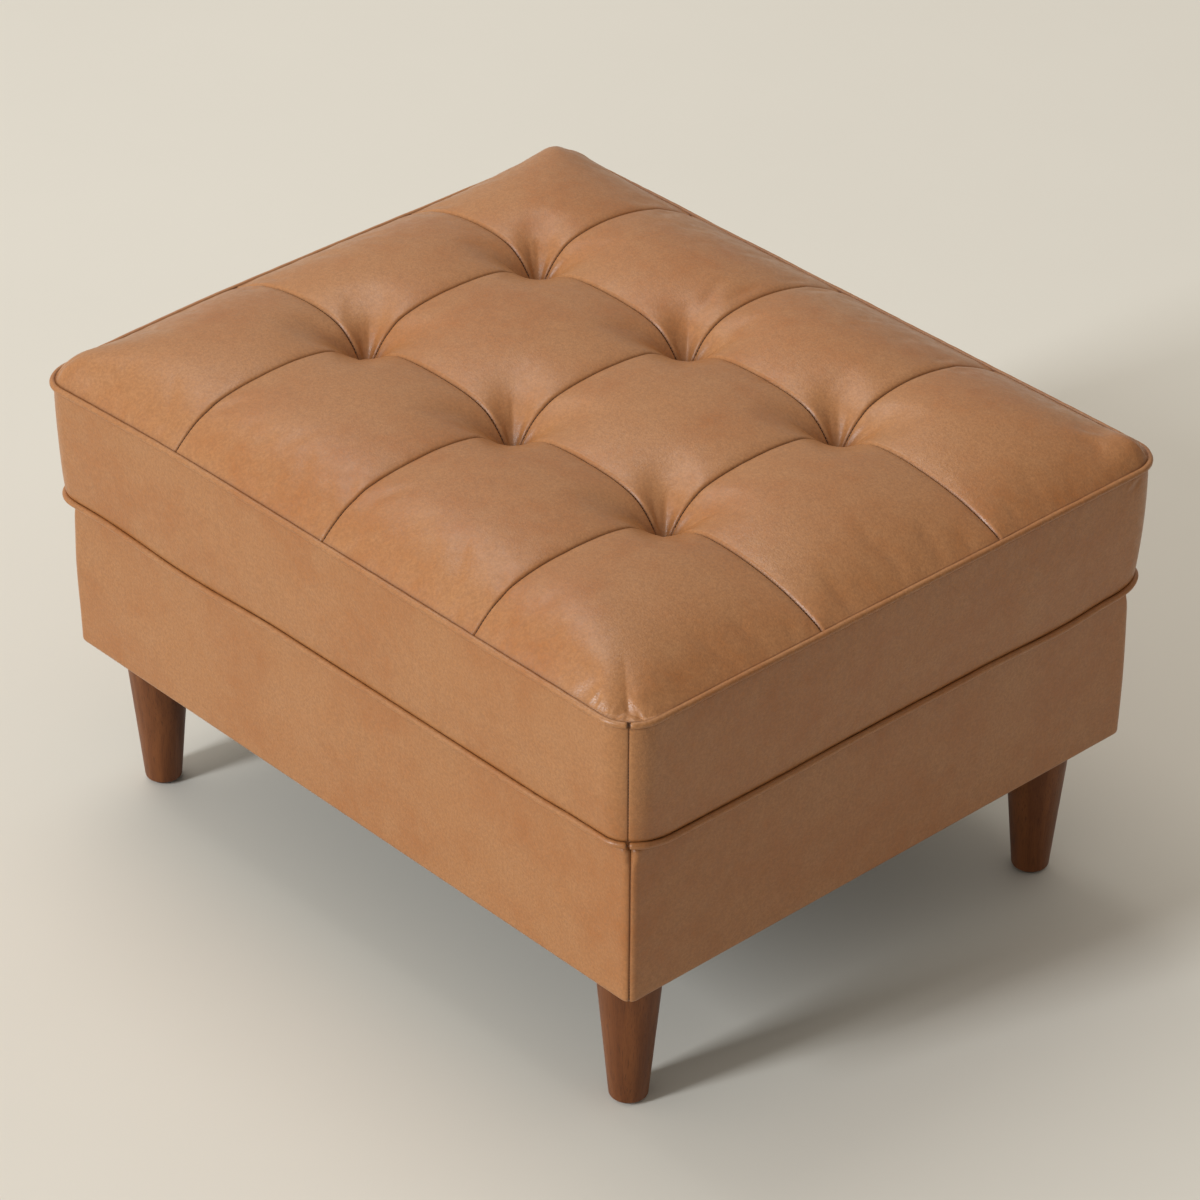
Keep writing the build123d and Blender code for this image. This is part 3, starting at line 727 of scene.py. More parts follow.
def foldMarks(f=tuftFolds):
    # a few creases in every panel corner, running into the tuft
    rng = np.random.default_rng(f["seed"])
    marks = []
    for x, y in tuftPlaces():
        for corner in range(4):
            middle = math.radians(45 + 90 * corner)
            for number in range(f["count"]):
                fan = (number - (f["count"] - 1) / 2) * f["fan"]
                angle = middle + math.radians(fan + rng.uniform(-f["fanWander"], f["fanWander"]))
                start = rng.uniform(*f["start"])
                end = rng.uniform(*f["end"]) * f["lengths"][number != 1]
                bend = rng.uniform(-f["bend"], f["bend"])
                marks.append((
                    x + start * math.cos(angle), y + start * math.sin(angle),
                    x + end * math.cos(angle + bend), y + end * math.sin(angle + bend),
                    rng.uniform(*f["depth"]), f["width"], f["spread"]))
    rng = np.random.default_rng(cornerFolds["seed"])
    for sideX, sideY, runs, count, depths, widths, lengths in cornerFolds["clusters"]:
        for number in range(count):
            run = mix(*runs, (number + rng.uniform(0.1, 0.9)) / count)
            x, y, nx, ny = outlineSpot(sideX, sideY, run)
            turn = rng.uniform(-cornerFolds["turn"], cornerFolds["turn"])
            wayX, wayY = nx * math.cos(turn) - ny * math.sin(turn), nx * math.sin(turn) + ny * math.cos(turn)
            start, length = rng.uniform(*cornerFolds["start"]), rng.uniform(*lengths)
            depth = rng.uniform(*depths)
            depth *= cornerFolds["ridgeShare"] if rng.uniform() < cornerFolds["ridges"] else 1.0
            end = start + length
            marks.append((x + wayX * start, y + wayY * start, x + wayX * end, y + wayY * end,
                          depth, rng.uniform(*widths), cornerFolds["spread"]))
    return marks


clothTrial = {
    "columns": 32, "rows": 34,      # per panel
    "frames": 20, "pressure": 4.0, "growth": 0.006, "seamHold": 0.45,
    "cap": 3.0, "mass": 0.35, "tension": 18.0, "bending": 0.6,
}


def clothRelief(t=topCover, c=clothTrial):
    # how a slightly oversized cover moves when it is blown up, held at its border, tufts and seams
    a, b = t["halfX"], t["halfY"]
    ps, qs = np.linspace(-a, a, 4 * c["columns"] + 1), np.linspace(-b, b, 3 * c["rows"] + 1)
    shape = (len(qs), len(ps), 3)
    q, p = [g.ravel() for g in np.meshgrid(qs, ps, indexing="ij")]
    x, y = coverPlace(p, q, t)
    before = np.stack([x, y, t["edgeZ"] + coverHeight(p, q, t)], axis=1) * mm
    mesh = bpy.data.meshes.new("coverTrial")
    mesh.from_pydata([tuple(v) for v in before], [], gridFaces(len(qs), len(ps)))
    trial = addObject("coverTrial", mesh)
    seamX, seamY = seamDistances(p, q, t)
    onBorder = (np.abs(np.abs(p) - a) < 0.1) | (np.abs(np.abs(q) - b) < 0.1)
    atTuft = (seamX < 5) & (seamY < 5)
    onSeam = (seamX < 0.1) | (seamY < 0.1)
    held = trial.vertex_groups.new(name="held")
    held.add([int(i) for i in np.nonzero(onSeam & ~atTuft & ~onBorder)[0]], c["seamHold"], "REPLACE")
    held.add([int(i) for i in np.nonzero(atTuft | onBorder)[0]], 1.0, "REPLACE")
    cloth = trial.modifiers.new("cloth", "CLOTH")
    settings = cloth.settings
    settings.quality = 6
    settings.mass = c["mass"]
    settings.tension_stiffness = settings.compression_stiffness = c["tension"]
    settings.shear_stiffness = c["tension"] / 2
    settings.bending_stiffness = c["bending"]
    settings.use_pressure = True
    settings.uniform_pressure_force = c["pressure"]
    settings.shrink_min = -c["growth"]
    settings.vertex_group_mass = "held"
    settings.effector_weights.gravity = 0.0
    cloth.point_cache.frame_start = 1
    cloth.point_cache.frame_end = c["frames"]
    scene = bpy.context.scene
    for number in range(1, c["frames"] + 1):
        scene.frame_set(number)
    shaped = trial.evaluated_get(bpy.context.evaluated_depsgraph_get())
    after = np.empty(len(before) * 3)
    shaped.data.vertices.foreach_get("co", after)
    bpy.data.objects.remove(trial)
    scene.frame_set(1)
    moved = (after.reshape(-1, 3) - before) / mm
    size = np.linalg.norm(moved, axis=1)
    print("cloth moved up to", round(float(size.max()), 1), "mm")
    moved *= (c["cap"] * np.tanh(size / c["cap"]) / np.maximum(size, 1e-6))[:, None]
    return moved.reshape(shape), ps, qs


def splineValue(grid, ps, qs, p, q):
    # cubic B-spline through a regular grid of vectors
    u = (p - ps[0]) / (ps[1] - ps[0])
    v = (q - qs[0]) / (qs[1] - qs[0])
    iu, iv = np.floor(u).astype(int), np.floor(v).astype(int)
    fu, fv = u - iu, v - iv

    def weights(f):
        return [(1 - f) ** 3 / 6, (3 * f ** 3 - 6 * f ** 2 + 4) / 6,
                (-3 * f ** 3 + 3 * f ** 2 + 3 * f + 1) / 6, f ** 3 / 6]

    wu, wv = weights(fu), weights(fv)
    total = np.zeros((len(p), grid.shape[2]))
    for j in range(4):
        row = np.clip(iv + j - 1, 0, grid.shape[0] - 1)
        for i in range(4):
            column = np.clip(iu + i - 1, 0, grid.shape[1] - 1)
            total += (wu[i] * wv[j])[:, None] * grid[row, column]
    return total


coverRelief = clothRelief()


def coverPoints(p, q, t=topCover, depth=1.0):
    # the cover's surface on the sewing grid; depth 0 leaves the grooves out
    x, y = coverPlace(p, q, t)
    z = t["edgeZ"] + coverHeight(p, q, t) - depth * grooves(p, q, t) - reliefOf(x, y, foldMarks())
    points = np.stack([x, y, z], axis=1) + splineValue(*coverRelief, p, q)
    points[:, 2] -= drooped(x, y)
    return points


# painted shade on the crown's leather: darker deep in the tufts, in the seams and at the welt
crownShade = {
    "pitTop": 10.0, "pitDepth": 26.0, "pit": 0.75, "pitBorder": 60, "creaseWidth": 0.55, "crease": 0.95,
    "hemWidth": 0.8, "hem": 0.9,
}


def makeTopCover(t, c=crownShade):
    a, b = t["halfX"], t["halfY"]
    seamPs, seamQs = [i * a / 2 for i in (-1, 0, 1)], [j * 2 * b / 3 for j in (-0.5, 0.5)]

    def places(half, seams, near):
        bands = [(-half, -half + t["borderBand"], t["borderPitch"]),
                 (half - t["borderBand"], half, t["borderPitch"])]
        bands += [(s - t["tuftBand"], s + t["tuftBand"], t["tuftPitch"]) for s in seams]
        bands += [(near * half - t["cornerBand"], near * half + t["cornerBand"], t["cornerPitch"])]
        return stations(-half, half, t["pitch"], seams, t["seamOffsets"], bands)

    ps, qs = places(a, seamPs, 1), places(b, seamQs, -1)
    q, p = [g.ravel() for g in np.meshgrid(qs, ps, indexing="ij")]
    points = coverPoints(p, q, t)
    rows, columns = len(qs), len(ps)
    faces = gridFaces(rows, columns)
    # a skirt down into the boxing and a flat underside close the form
    ring = borderOf(rows, columns)
    below = points[ring].copy()
    below[:, 2] = lowOf("fibre_fill")[2] + t["skirtLift"]
    below = below * np.array([1 - t["skirtInset"] / a, 1 - t["skirtInset"] / b, 1.0])
    start, count = len(points), len(ring)
    faces += [[ring[i], start + i, start + (i + 1) % count, ring[(i + 1) % count]] for i in range(count)]
    centre = start + count
    points = np.vstack([points, below, [[0, 0, below[0, 2]]]])
    faces += [[start + i, centre, start + (i + 1) % count] for i in range(count)]
    piece = addPiece("topCover", points, faces, leather, "cushion")
    paintedShade = np.zeros(len(points))
    # painted shade deep in the tufts, along the seam grooves and at the welt's crease
    pit = np.clip((c["pitTop"] - coverHeight(p, q, t)) / c["pitDepth"], 0, 1) ** 1.3 * c["pit"]
    border = np.minimum(a - np.abs(p), b - np.abs(q))
    pit = np.where(border < c["pitBorder"], 0, pit)
    seamX, seamY = seamDistances(p, q, t)
    crease = np.exp(-(np.minimum(seamX, seamY) / c["creaseWidth"]) ** 2) * c["crease"]
    hem = np.exp(-(border / c["hemWidth"]) ** 2) * c["hem"]
    paintedShade[:rows * columns] = np.maximum.reduce([pit, crease, hem])
    # the skirt and the hidden underside are painted fully in shade
    paintedShade[start:] = 1
    paintShade(piece, paintedShade)
    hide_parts("top_panels", "fibre_fill")
    return piece


cover = makeTopCover(topCover)
print("top cover made:", len(cover.data.polygons), "faces")


def outlinePath(halfX, halfY, radius, pitch, startAngle=-45.0):
    # rounded rectangle, counter-clockwise from the middle of the front right corner, with outward normals
    places, normals = [], []
    corners = [(halfX - radius, halfY - radius, 0), (radius - halfX, halfY - radius, 90),
               (radius - halfX, radius - halfY, 180), (halfX - radius, radius - halfY, 270)]
    steps = max(4, int(math.ceil(math.pi / 2 * radius / pitch)))

    def arc(cx, cy, first, last):
        for k in range(steps + 1):
            angle = math.radians(mix(first, last, k / steps))
            normals.append((math.cos(angle), math.sin(angle)))
            places.append((cx + radius * math.cos(angle), cy + radius * math.sin(angle)))

    arc(halfX - radius, radius - halfY, startAngle, 0)
    for cx, cy, first in corners[:3]:
        arc(cx, cy, first, first + 90)
    arc(halfX - radius, radius - halfY, 270, 360 + startAngle)
    full, fullNormals = [], []
    for i in range(len(places) - 1):
        a, b = np.array(places[i]), np.array(places[i + 1])
        length = np.linalg.norm(b - a)
        if length < 1e-6:
            continue
        count = max(1, int(round(length / pitch)))
        for k in range(count):
            full.append(mix(a, b, k / count))
            n = mix(np.array(normals[i]), np.array(normals[i + 1]), k / count)
            fullNormals.append(n / np.linalg.norm(n))
    full.append(np.array(places[-1]))
    fullNormals.append(np.array(normals[-1]))
    return np.array(full), np.array(fullNormals)


welts = {
    "cornerRadius": 33.0,
    "pitch": 3.0,
    "sides": 18,
    "bore": 1.7,
    "joinGap": 0.16,
    "wander": 0.4,
    "wanderOut": 0.5,       # share of the wander that also shows outwards
    "wanderSize": 150.0,
    "swell": 0.05,
    "swellSize": 26.0,
    "joinSwell": (0.14, 1.2),
    "shadeAngle": 150,      # painted shade: the tube is darkest here, where the next leather meets it
    "shadeSpread": 30,
    "shadeAmount": 0.9,
    "seed": 5,
}
weltCords = {"radius": 1.4, "pitch": 1.6, "sides": 9, "twist": 9.0, "strands": 3, "strandDepth": 0.12}


def twisted(angle, along, c):
    # share of a cord's radius that its laid strands leave
    turn = c["strands"] * angle + along * 2 * math.pi / c["twist"]
    return 1 - c["strandDepth"] * (0.5 - 0.5 * math.cos(turn))


def weltLine(inset, height, pitch):
    path, normals = outlinePath(weltHalfX - inset, weltHalfY - inset, welts["cornerRadius"] - inset, pitch)
    run = np.concatenate([[0], np.cumsum(np.linalg.norm(np.diff(path, axis=0), axis=1))])
    keep = (run > welts["joinGap"] / 2) & (run < run[-1] - welts["joinGap"] / 2)
    path, normals, run = path[keep], normals[keep], run[keep]
    level = height - drooped(path[:, 0], path[:, 1])
    if height < topWeltZ:
        level = level - bottomDrop(path[:, 0], path[:, 1])
    return path, normals, run, level


def ringPoints(path, normals, level, sides, reachOf):
    # rings of points round a level path; reachOf gives the outward and upward place for a station and an angle
    points = []
    for k in range(len(path)):
        for s in range(sides):
            out, up = reachOf(k, 2 * math.pi * s / sides)
            points.append((path[k, 0] + normals[k, 0] * out, path[k, 1] + normals[k, 1] * out, level[k] + up))
    return points


def makeWelt(name, nodeName, inset, height, w):
    path, normals, run, level = weltLine(inset, height, w["pitch"])
    flat = np.stack([path[:, 0], path[:, 1], np.full(len(path), height)], axis=1)
    shift = waves(flat, w["seed"] + int(height), w["wanderSize"]) * w["wander"]
    swell = 1 + w["swell"] * waves(flat, w["seed"] + 1 + int(height), w["swellSize"])
    joint = np.minimum(run - run[0], run[-1] - run)
    drawn, nearJoin = w["joinSwell"]
    swell = swell * (1 - drawn * np.exp(-(joint / nearJoin) ** 2))

    def tube(radius, swelling):
        def reachOf(k, angle):
            reach = radius * swelling[k]
            return reach * math.cos(angle) + shift[k] * w["wanderOut"], reach * math.sin(angle) + shift[k]
        return np.array(ringPoints(path, normals, level, w["sides"], reachOf))

    outer, inner = tube(weltRadius, swell), tube(w["bore"], np.ones(len(path)))
    size, sides = len(outer), w["sides"]
    faces = gridFaces(len(path), sides, closedColumns=True)
    faces += gridFaces(len(path), sides, size, closedColumns=True, flip=True)
    last = size - sides
    for s in range(sides):
        s2 = (s + 1) % sides
        faces.append([s, size + s, size + s2, s2])
        faces.append([last + s, last + s2, size + last + s2, size + last + s])
    piece = addPiece(name, np.vstack([outer, inner]), faces, leather, "cushion")
    # painted shade on the tube where the next leather meets it; the bore is painted the same way
    angles = np.abs((np.arange(sides) * 360.0 / sides + 180) % 360 - 180)
    ring = np.exp(-((angles - w["shadeAngle"]) / w["shadeSpread"]) ** 2) * w["shadeAmount"]
    paintShade(piece, np.tile(ring, 2 * len(path)))
    editMesh(piece, faceOutwards)
    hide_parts(nodeName)


def makeCord(name, nodeName, inset, height, c):
    path, normals, run, level = weltLine(inset, height, c["pitch"])

    def reachOf(k, angle):
        reach = c["radius"] * twisted(angle, run[k], c)
        return reach * math.cos(angle), reach * math.sin(angle)

    points = ringPoints(path, normals, level, c["sides"], reachOf)
    piece = addPiece(name, points, tubeFaces(len(path), c["sides"]), waxedTwine, "cushion")
    editMesh(piece, faceOutwards)
    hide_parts(nodeName)


makeWelt("topWelt", "top_welt", 0.0, topWeltZ, welts)
makeWelt("bottomWelt", "bottom_welt", bottomInset, bottomWeltZ, welts)
makeCord("topWeltCord", "top_welt_cord", 0.0, topWeltZ, weltCords)
makeCord("bottomWeltCord", "bottom_welt_cord", bottomInset, bottomWeltZ, weltCords)
print("welts made")

sideTurns = {"front": 0, "right": 90, "back": 180, "left": 270}
boxing = {
    "inset": 1.0,
    "intoWelt": 1.4,        # the band ends this far from the middle of each welt
    "bulge": 2.2,
    "tuck": 1.6,
    "tuckShare": 0.012,     # of the height, at the top and the bottom edge
    "seamDepth": 1.0,
    "seamWidth": 0.75,
    "hollow": 0.6,          # beside the corner seams
    "hollowWidth": 4,
    # painted shade along the band's top and bottom edges and beside its corner seams
    "shadeAmount": 0.9,
    "shadeShare": 0.016,
    "shadeWidth": 0.5,
    "pitch": 4.0,
    "rows": 34,
    "wave": 0.8,
    "waveSize": 170.0,
    "thickness": 1.2,
    # place along the band, share of its height, for both ends; depth, width, spread
    "folds": {
        "front": [(-20, 0.965, -22, 0.91, -0.6, 1.0, 0.3), (-24, 0.965, -27, 0.90, 0.6, 1.0, 0.3),
                  (-28, 0.965, -32, 0.92, -0.5, 1.1, 0.3), (-64, 0.97, -70, 0.93, 0.4, 1.4, 0.3)],
        "right": [(-22, 0.95, -34, 0.86, 0.9, 2.0, 0.5), (-30, 0.96, -44, 0.88, -0.7, 2.0, 0.5),
                  (16, 0.96, 22, 0.90, 0.5, 1.4, 0.4)],
        "back": [(18, 0.96, 26, 0.88, 0.6, 1.6, 0.4)],
        "left": [(-18, 0.96, -26, 0.9, 0.6, 1.6, 0.4), (20, 0.96, 27, 0.9, 0.5, 1.4, 0.4)],
    },
}


def turnedAbout(points, turn):
    angle = math.radians(turn)
    spin = np.array([[math.cos(angle), -math.sin(angle), 0], [math.sin(angle), math.cos(angle), 0], [0, 0, 1]])
    return points @ spin.T


def bandPlace(s, halfX, halfY, radius, arcLength, straight):
    # place and outward normal on a band that wraps round half of each corner
    if s < arcLength:
        angle = math.radians(-135) + s / radius
        centre = (radius - halfX, radius - halfY)
    elif s > arcLength + straight:
        angle = math.radians(-90) + (s - arcLength - straight) / radius
        centre = (halfX - radius, radius - halfY)
    else:
        return np.array([radius - halfX + s - arcLength, -halfY]), np.array([0.0, -1.0])
    normal = np.array([math.cos(angle), math.sin(angle)])
    return np.array(centre) + radius * normal, normal


def makeBoxing(side, turn, box):
    lengthwise = side in ("front", "back")
    halfX = (weltHalfX if lengthwise else weltHalfY) - box["inset"]
    halfY = (weltHalfY if lengthwise else weltHalfX) - box["inset"]
    radius = welts["cornerRadius"] - box["inset"]
    arcLength = math.radians(45) * radius
    straight = 2 * (halfX - radius)
    total = straight + 2 * arcLength
    along = stations(0, total, box["pitch"], bands=[(0, 46, 1.6), (total - 46, total, 1.6)])
    ends = (0.3, 0.7, 1.3, 2.2, 3.4)
    along = [s for s in along if 4.4 < s < total - 4.4]
    along = np.array(sorted(along + [0, total] + list(ends) + [total - o for o in ends]))
    shares = np.concatenate([[0.0, 0.008, 0.02], np.linspace(0.035, 0.86, box["rows"]),
                             np.linspace(0.875, 0.965, 9), [0.98, 0.992, 1.0]])
    low, high = bottomWeltZ + box["intoWelt"], topWeltZ - box["intoWelt"]
    spots = []
    for share in shares:
        inward = bottomInset * (1 - share)
        for s in along:
            place, normal = bandPlace(s, halfX, halfY, radius, arcLength, straight)
            bulge = box["bulge"] * math.sin(math.pi * share) ** 0.7
            tuck = box["tuck"] * sum(math.exp(-(edge / box["tuckShare"]) ** 1.5) for edge in (share, 1 - share))
            seam = min(s, total - s)
            groove = box["seamDepth"] * math.exp(-(seam / box["seamWidth"]) ** 1.4)
            groove += box["hollow"] * math.exp(-(seam / box["hollowWidth"]) ** 2)
            place = place + normal * (bulge - tuck - groove - inward)
            spots.append((place[0], place[1], mix(low, high, share), normal[0], normal[1], share, s, seam))
    table = np.array(spots)
    body = table[:, :3]
    normal = np.stack([table[:, 3], table[:, 4], np.zeros(len(table))], axis=1)
    fade = np.sin(math.pi * table[:, 5])
    moved = box["wave"] * fade * waves(body + turn, 21, box["waveSize"])
    folds = [(start + total * (start < 0), startShare * (high - low), end + total * (end < 0),
              endShare * (high - low), *rest) for start, startShare, end, endShare, *rest in box["folds"][side]]
    moved -= reliefOf(table[:, 6], table[:, 5] * (high - low), folds)
    outer = turnedAbout(body + normal * moved[:, None], turn)
    drop = drooped(outer[:, 0], outer[:, 1])
    outer[:, 2] -= drop + bottomDrop(outer[:, 0], outer[:, 1]) * (1 - table[:, 5]) ** 2
    inner = outer - turnedAbout(normal, turn) * box["thickness"]
    rows, columns = len(shares), len(along)
    size = rows * columns
    faces = gridFaces(rows, columns) + gridFaces(rows, columns, size, flip=True)
    for r in range(rows - 1):
        faces.append([r * columns, (r + 1) * columns, size + (r + 1) * columns, size + r * columns])
        e = r * columns + columns - 1
        faces.append([e, size + e, size + e + columns, e + columns])
    for c in range(columns - 1):
        faces.append([c, size + c, size + c + 1, c + 1])
        e = (rows - 1) * columns + c
        faces.append([e, e + 1, size + e + 1, size + e])
    points = np.vstack([outer, inner])
    piece = addPiece("boxing" + side.capitalize(), points, faces, leather, "cushion")
    # painted shade at the band's hems and corner seams; the inner face is painted fully in shade
    share = table[:, 5]
    hem = sum(np.exp(-(edge / box["shadeShare"]) ** 2) for edge in (share, 1 - share))
    crease = np.exp(-(table[:, 7] / box["shadeWidth"]) ** 2)
    paintShade(piece, np.concatenate([np.maximum(hem, crease) * box["shadeAmount"], np.ones(size)]))
    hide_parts(f"boxing_{side}")


for side, turn in sideTurns.items():
    makeBoxing(side, turn, boxing)
print("boxing made")

basePanel = {
    "cornerRadius": 10.0,
    "roll": 13.0,
    "hem": 4.0,
    "border": 71.5,
    "turnUnder": 18.0,
    "pitch": 4.5,
    "seamDepth": 1.4,
    "seamWidth": 1.1,
    "lobeDepth": 11.0,
    "lobeWidth": 8.4,
    "lobeFoot": 0.425,      # what is left of the lobe where the roll ends, and how far down it fades
    "lobeRun": 11.0,
    "lobeFade": 7.0,        # on the flat of the top
    "downShare": 0.55,      # of the draw, that goes down
    "wave": 1.0,
    "waveSize": 190.0,
    "belly": 0.9,
    "thickness": 1.2,
    # painted shade in the corner seams
    "shadeAmount": 0.9,
    "shadeWidth": 0.6,
}
baseHalfX = highOf("base_panel_right")[0]
baseHalfY = -lowOf("base_panel_front")[1]
baseBottom, baseTop = lowOf("base_panel_front")[2], highOf("base_panel_front")[2]


def rightwards(points, reach=40.0, move=3.0):
    # the padding is thicker on the right side of the base
    points[:, 0] += move * smooth((points[:, 0] - baseHalfX + reach) / reach)
    return points


def mitrePlace(s, inset, halfX, halfY, radius, total):
    # place, outward normal and distance to the corner on one side of the base, mitred at 45 degrees
    end = min(s, total - s)
    arcLength = math.radians(45) * radius
    if end < arcLength:
        angle = math.radians(45) - end / radius
        normal = np.array([math.sin(angle), -math.cos(angle)])
        if radius > inset:
            place = np.array([halfX - radius, radius - halfY]) + (radius - inset) * normal
        else:
            place = np.array([halfX - inset, inset - halfY])
    else:
        normal = np.array([0.0, -1.0])
        x = halfX - radius - (end - arcLength)
        place = np.array([min(x, halfX - max(inset, radius)), inset - halfY])
    if s < total / 2:
        place, normal = place * np.array([-1, 1]), normal * np.array([-1, 1])
    return place, normal, end


def cornerDraw(z, end, b):
    # how far the leather is drawn in and down at a corner seam, most at the top of the roll
    above = (z - (baseTop - b["roll"])) / b["roll"]
    if above > 0:
        lobe = float(smooth(above * 1.1 + 0.45))
    else:
        lobe = b["lobeFoot"] * math.exp(-(above * b["roll"] / b["lobeRun"]) ** 2)
    width = mix(b["seamWidth"], b["lobeWidth"], lobe)
    draw = mix(b["seamDepth"], b["lobeDepth"], lobe) * math.exp(-(end / width) ** 1.5)
    return draw, draw * b["downShare"] * max(0.0, min(1.0, above * 2))


def sleeveProfile(b):
    # inset from the outer face and height, from the deck border down under the rail
    rollEnd = baseTop - b["roll"]
    line = [(b["border"], baseTop)]
    line += [(inset, baseTop) for inset in np.linspace(b["border"] - 5, b["roll"] + 3, 13)]
    line += [(inset, baseTop - drop) for inset, drop in quarter(b["roll"], 10)]
    line += [(0.0, z) for z in np.linspace(rollEnd - 2, rollEnd - 14, 6)]
    line += [(0.0, z) for z in np.linspace(rollEnd - 18, baseBottom + b["hem"] + 3, 27)]
    line += [(drop, baseBottom + inset) for inset, drop in quarter(b["hem"], 4)]
    return line + [(inset, baseBottom) for inset in np.linspace(b["hem"] + 3, b["turnUnder"], 4)]


def baseSide(side, b):
    # half length and half depth of the base as seen from one side, and the run from mitre to mitre
    lengthwise = side in ("front", "back")
    halfX, halfY = (baseHalfX, baseHalfY) if lengthwise else (baseHalfY, baseHalfX)
    return halfX, halfY, 2 * (halfX - b["cornerRadius"]) + 2 * math.radians(45) * b["cornerRadius"]


def makeBasePanel(side, turn, b):
    halfX, halfY, total = baseSide(side, b)
    ends = (0.0, 0.35, 0.7, 1.2, 1.9, 2.8, 3.9, 5.2, 6.6, 8.2, 10.0, 12.0)
    along = stations(0, total, b["pitch"])
    along = [s for s in along if 14.5 < s < total - 14.5]
    along = np.array(sorted(along + list(ends) + [total - o for o in ends]))
    line = sleeveProfile(b)
    spots = []
    for inset, z in line:
        onFace = 1.0 if inset < b["roll"] and z > baseBottom + 0.1 else 0.0
        share = (z - baseBottom) / (baseTop - baseBottom)
        for s in along:
            place, normal, end = mitrePlace(s, inset, halfX, halfY, b["cornerRadius"], total)
            inward, down = cornerDraw(z, end, b)
            if not onFace:
                fade = math.exp(-(inset - b["roll"]) / b["lobeFade"]) if z > baseBottom + 0.1 else 0.0
                inward, down = inward * fade, down * fade
            place = place + normal * (b["belly"] * math.sin(math.pi * share) * onFace - inward)
            spots.append((place[0], place[1], z - down, normal[0] * onFace, normal[1] * onFace,
                          math.sin(math.pi * share) * onFace, end))
    table = np.array(spots)
    body = table[:, :3]
    outward = np.stack([table[:, 3], table[:, 4], np.zeros(len(table))], axis=1)
    body = body + outward * (b["wave"] * table[:, 5] * waves(body + turn * 3, 33, b["waveSize"]))[:, None]
    outer = rightwards(turnedAbout(body, turn))
    faces = gridFaces(len(line), len(along), flip=True)
    piece = addPiece("basePanel" + side.capitalize(), outer, faces, leather, "base")
    # painted shade along each corner seam
    paintShade(piece, np.exp(-(table[:, 6] / b["shadeWidth"]) ** 2) * b["shadeAmount"])
    editMesh(piece, joinDoubles)
    thicken(piece, b["thickness"])
    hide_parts(f"base_panel_{side}")


for side, turn in sideTurns.items():
    makeBasePanel(side, turn, basePanel)
print("base panels made")

# Padding under the base's leather, one length of foam on each side
padding = {"gap": 1.5, "thickness": 6.0, "lap": 13.0, "pitch": 12.0}


def makePadding(side, turn, b, d):
    halfX, halfY, total = baseSide(side, b)
    frameTop, frameLow = highOf("rail_front")[2], lowOf("rail_front")[2]
    skin = d["gap"] + d["thickness"]
    line = [(d["gap"] + d["lap"], baseTop - d["gap"])]
    line += [(d["gap"] + inset, baseTop - d["gap"] - drop) for inset, drop in quarter(b["roll"] - d["gap"], 6)]
    line += [(d["gap"], z) for z in np.linspace(baseTop - 24, frameLow + 6, 12)]
    line += [(d["gap"] + 1.0, frameLow + 1.0), (d["gap"] + 2.6, frameLow + 0.2), (skin - 0.2, frameLow + 0.2)]
    line += [(skin - 0.2, z) for z in np.linspace(frameLow + 8, frameTop + 0.2, 10)]
    line += [(d["gap"] + d["lap"], frameTop + 0.2)]
    along = stations(0.2, total - 0.2, d["pitch"], bands=[(0.2, 20, 2.0), (total - 20, total - 0.2, 2.0)])
    points = []
    for inset, z in line:
        for s in along:
            place, normal, end = mitrePlace(s, inset, halfX, halfY, b["cornerRadius"], total)
            inward, down = cornerDraw(z, end, b)
            if inset < skin - 0.5 or z > frameTop + 0.1:
                place = place - normal * inward
            points.append((place[0], place[1], z - down))
    points = rightwards(turnedAbout(np.array(points), turn))
    rows, columns = len(line), len(along)
    faces = gridFaces(rows, columns, closedRows=True)
    faces.append([r * columns for r in range(rows)])
    faces.append([r * columns + columns - 1 for r in reversed(range(rows))])
    piece = addPiece("padding" + side.capitalize(), points, faces, cutFoam, "base")
    editMesh(piece, joinDoubles)
    editMesh(piece, faceOutwards)
    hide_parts(f"padding_{side}")


for side, turn in sideTurns.items():
    makePadding(side, turn, basePanel, padding)


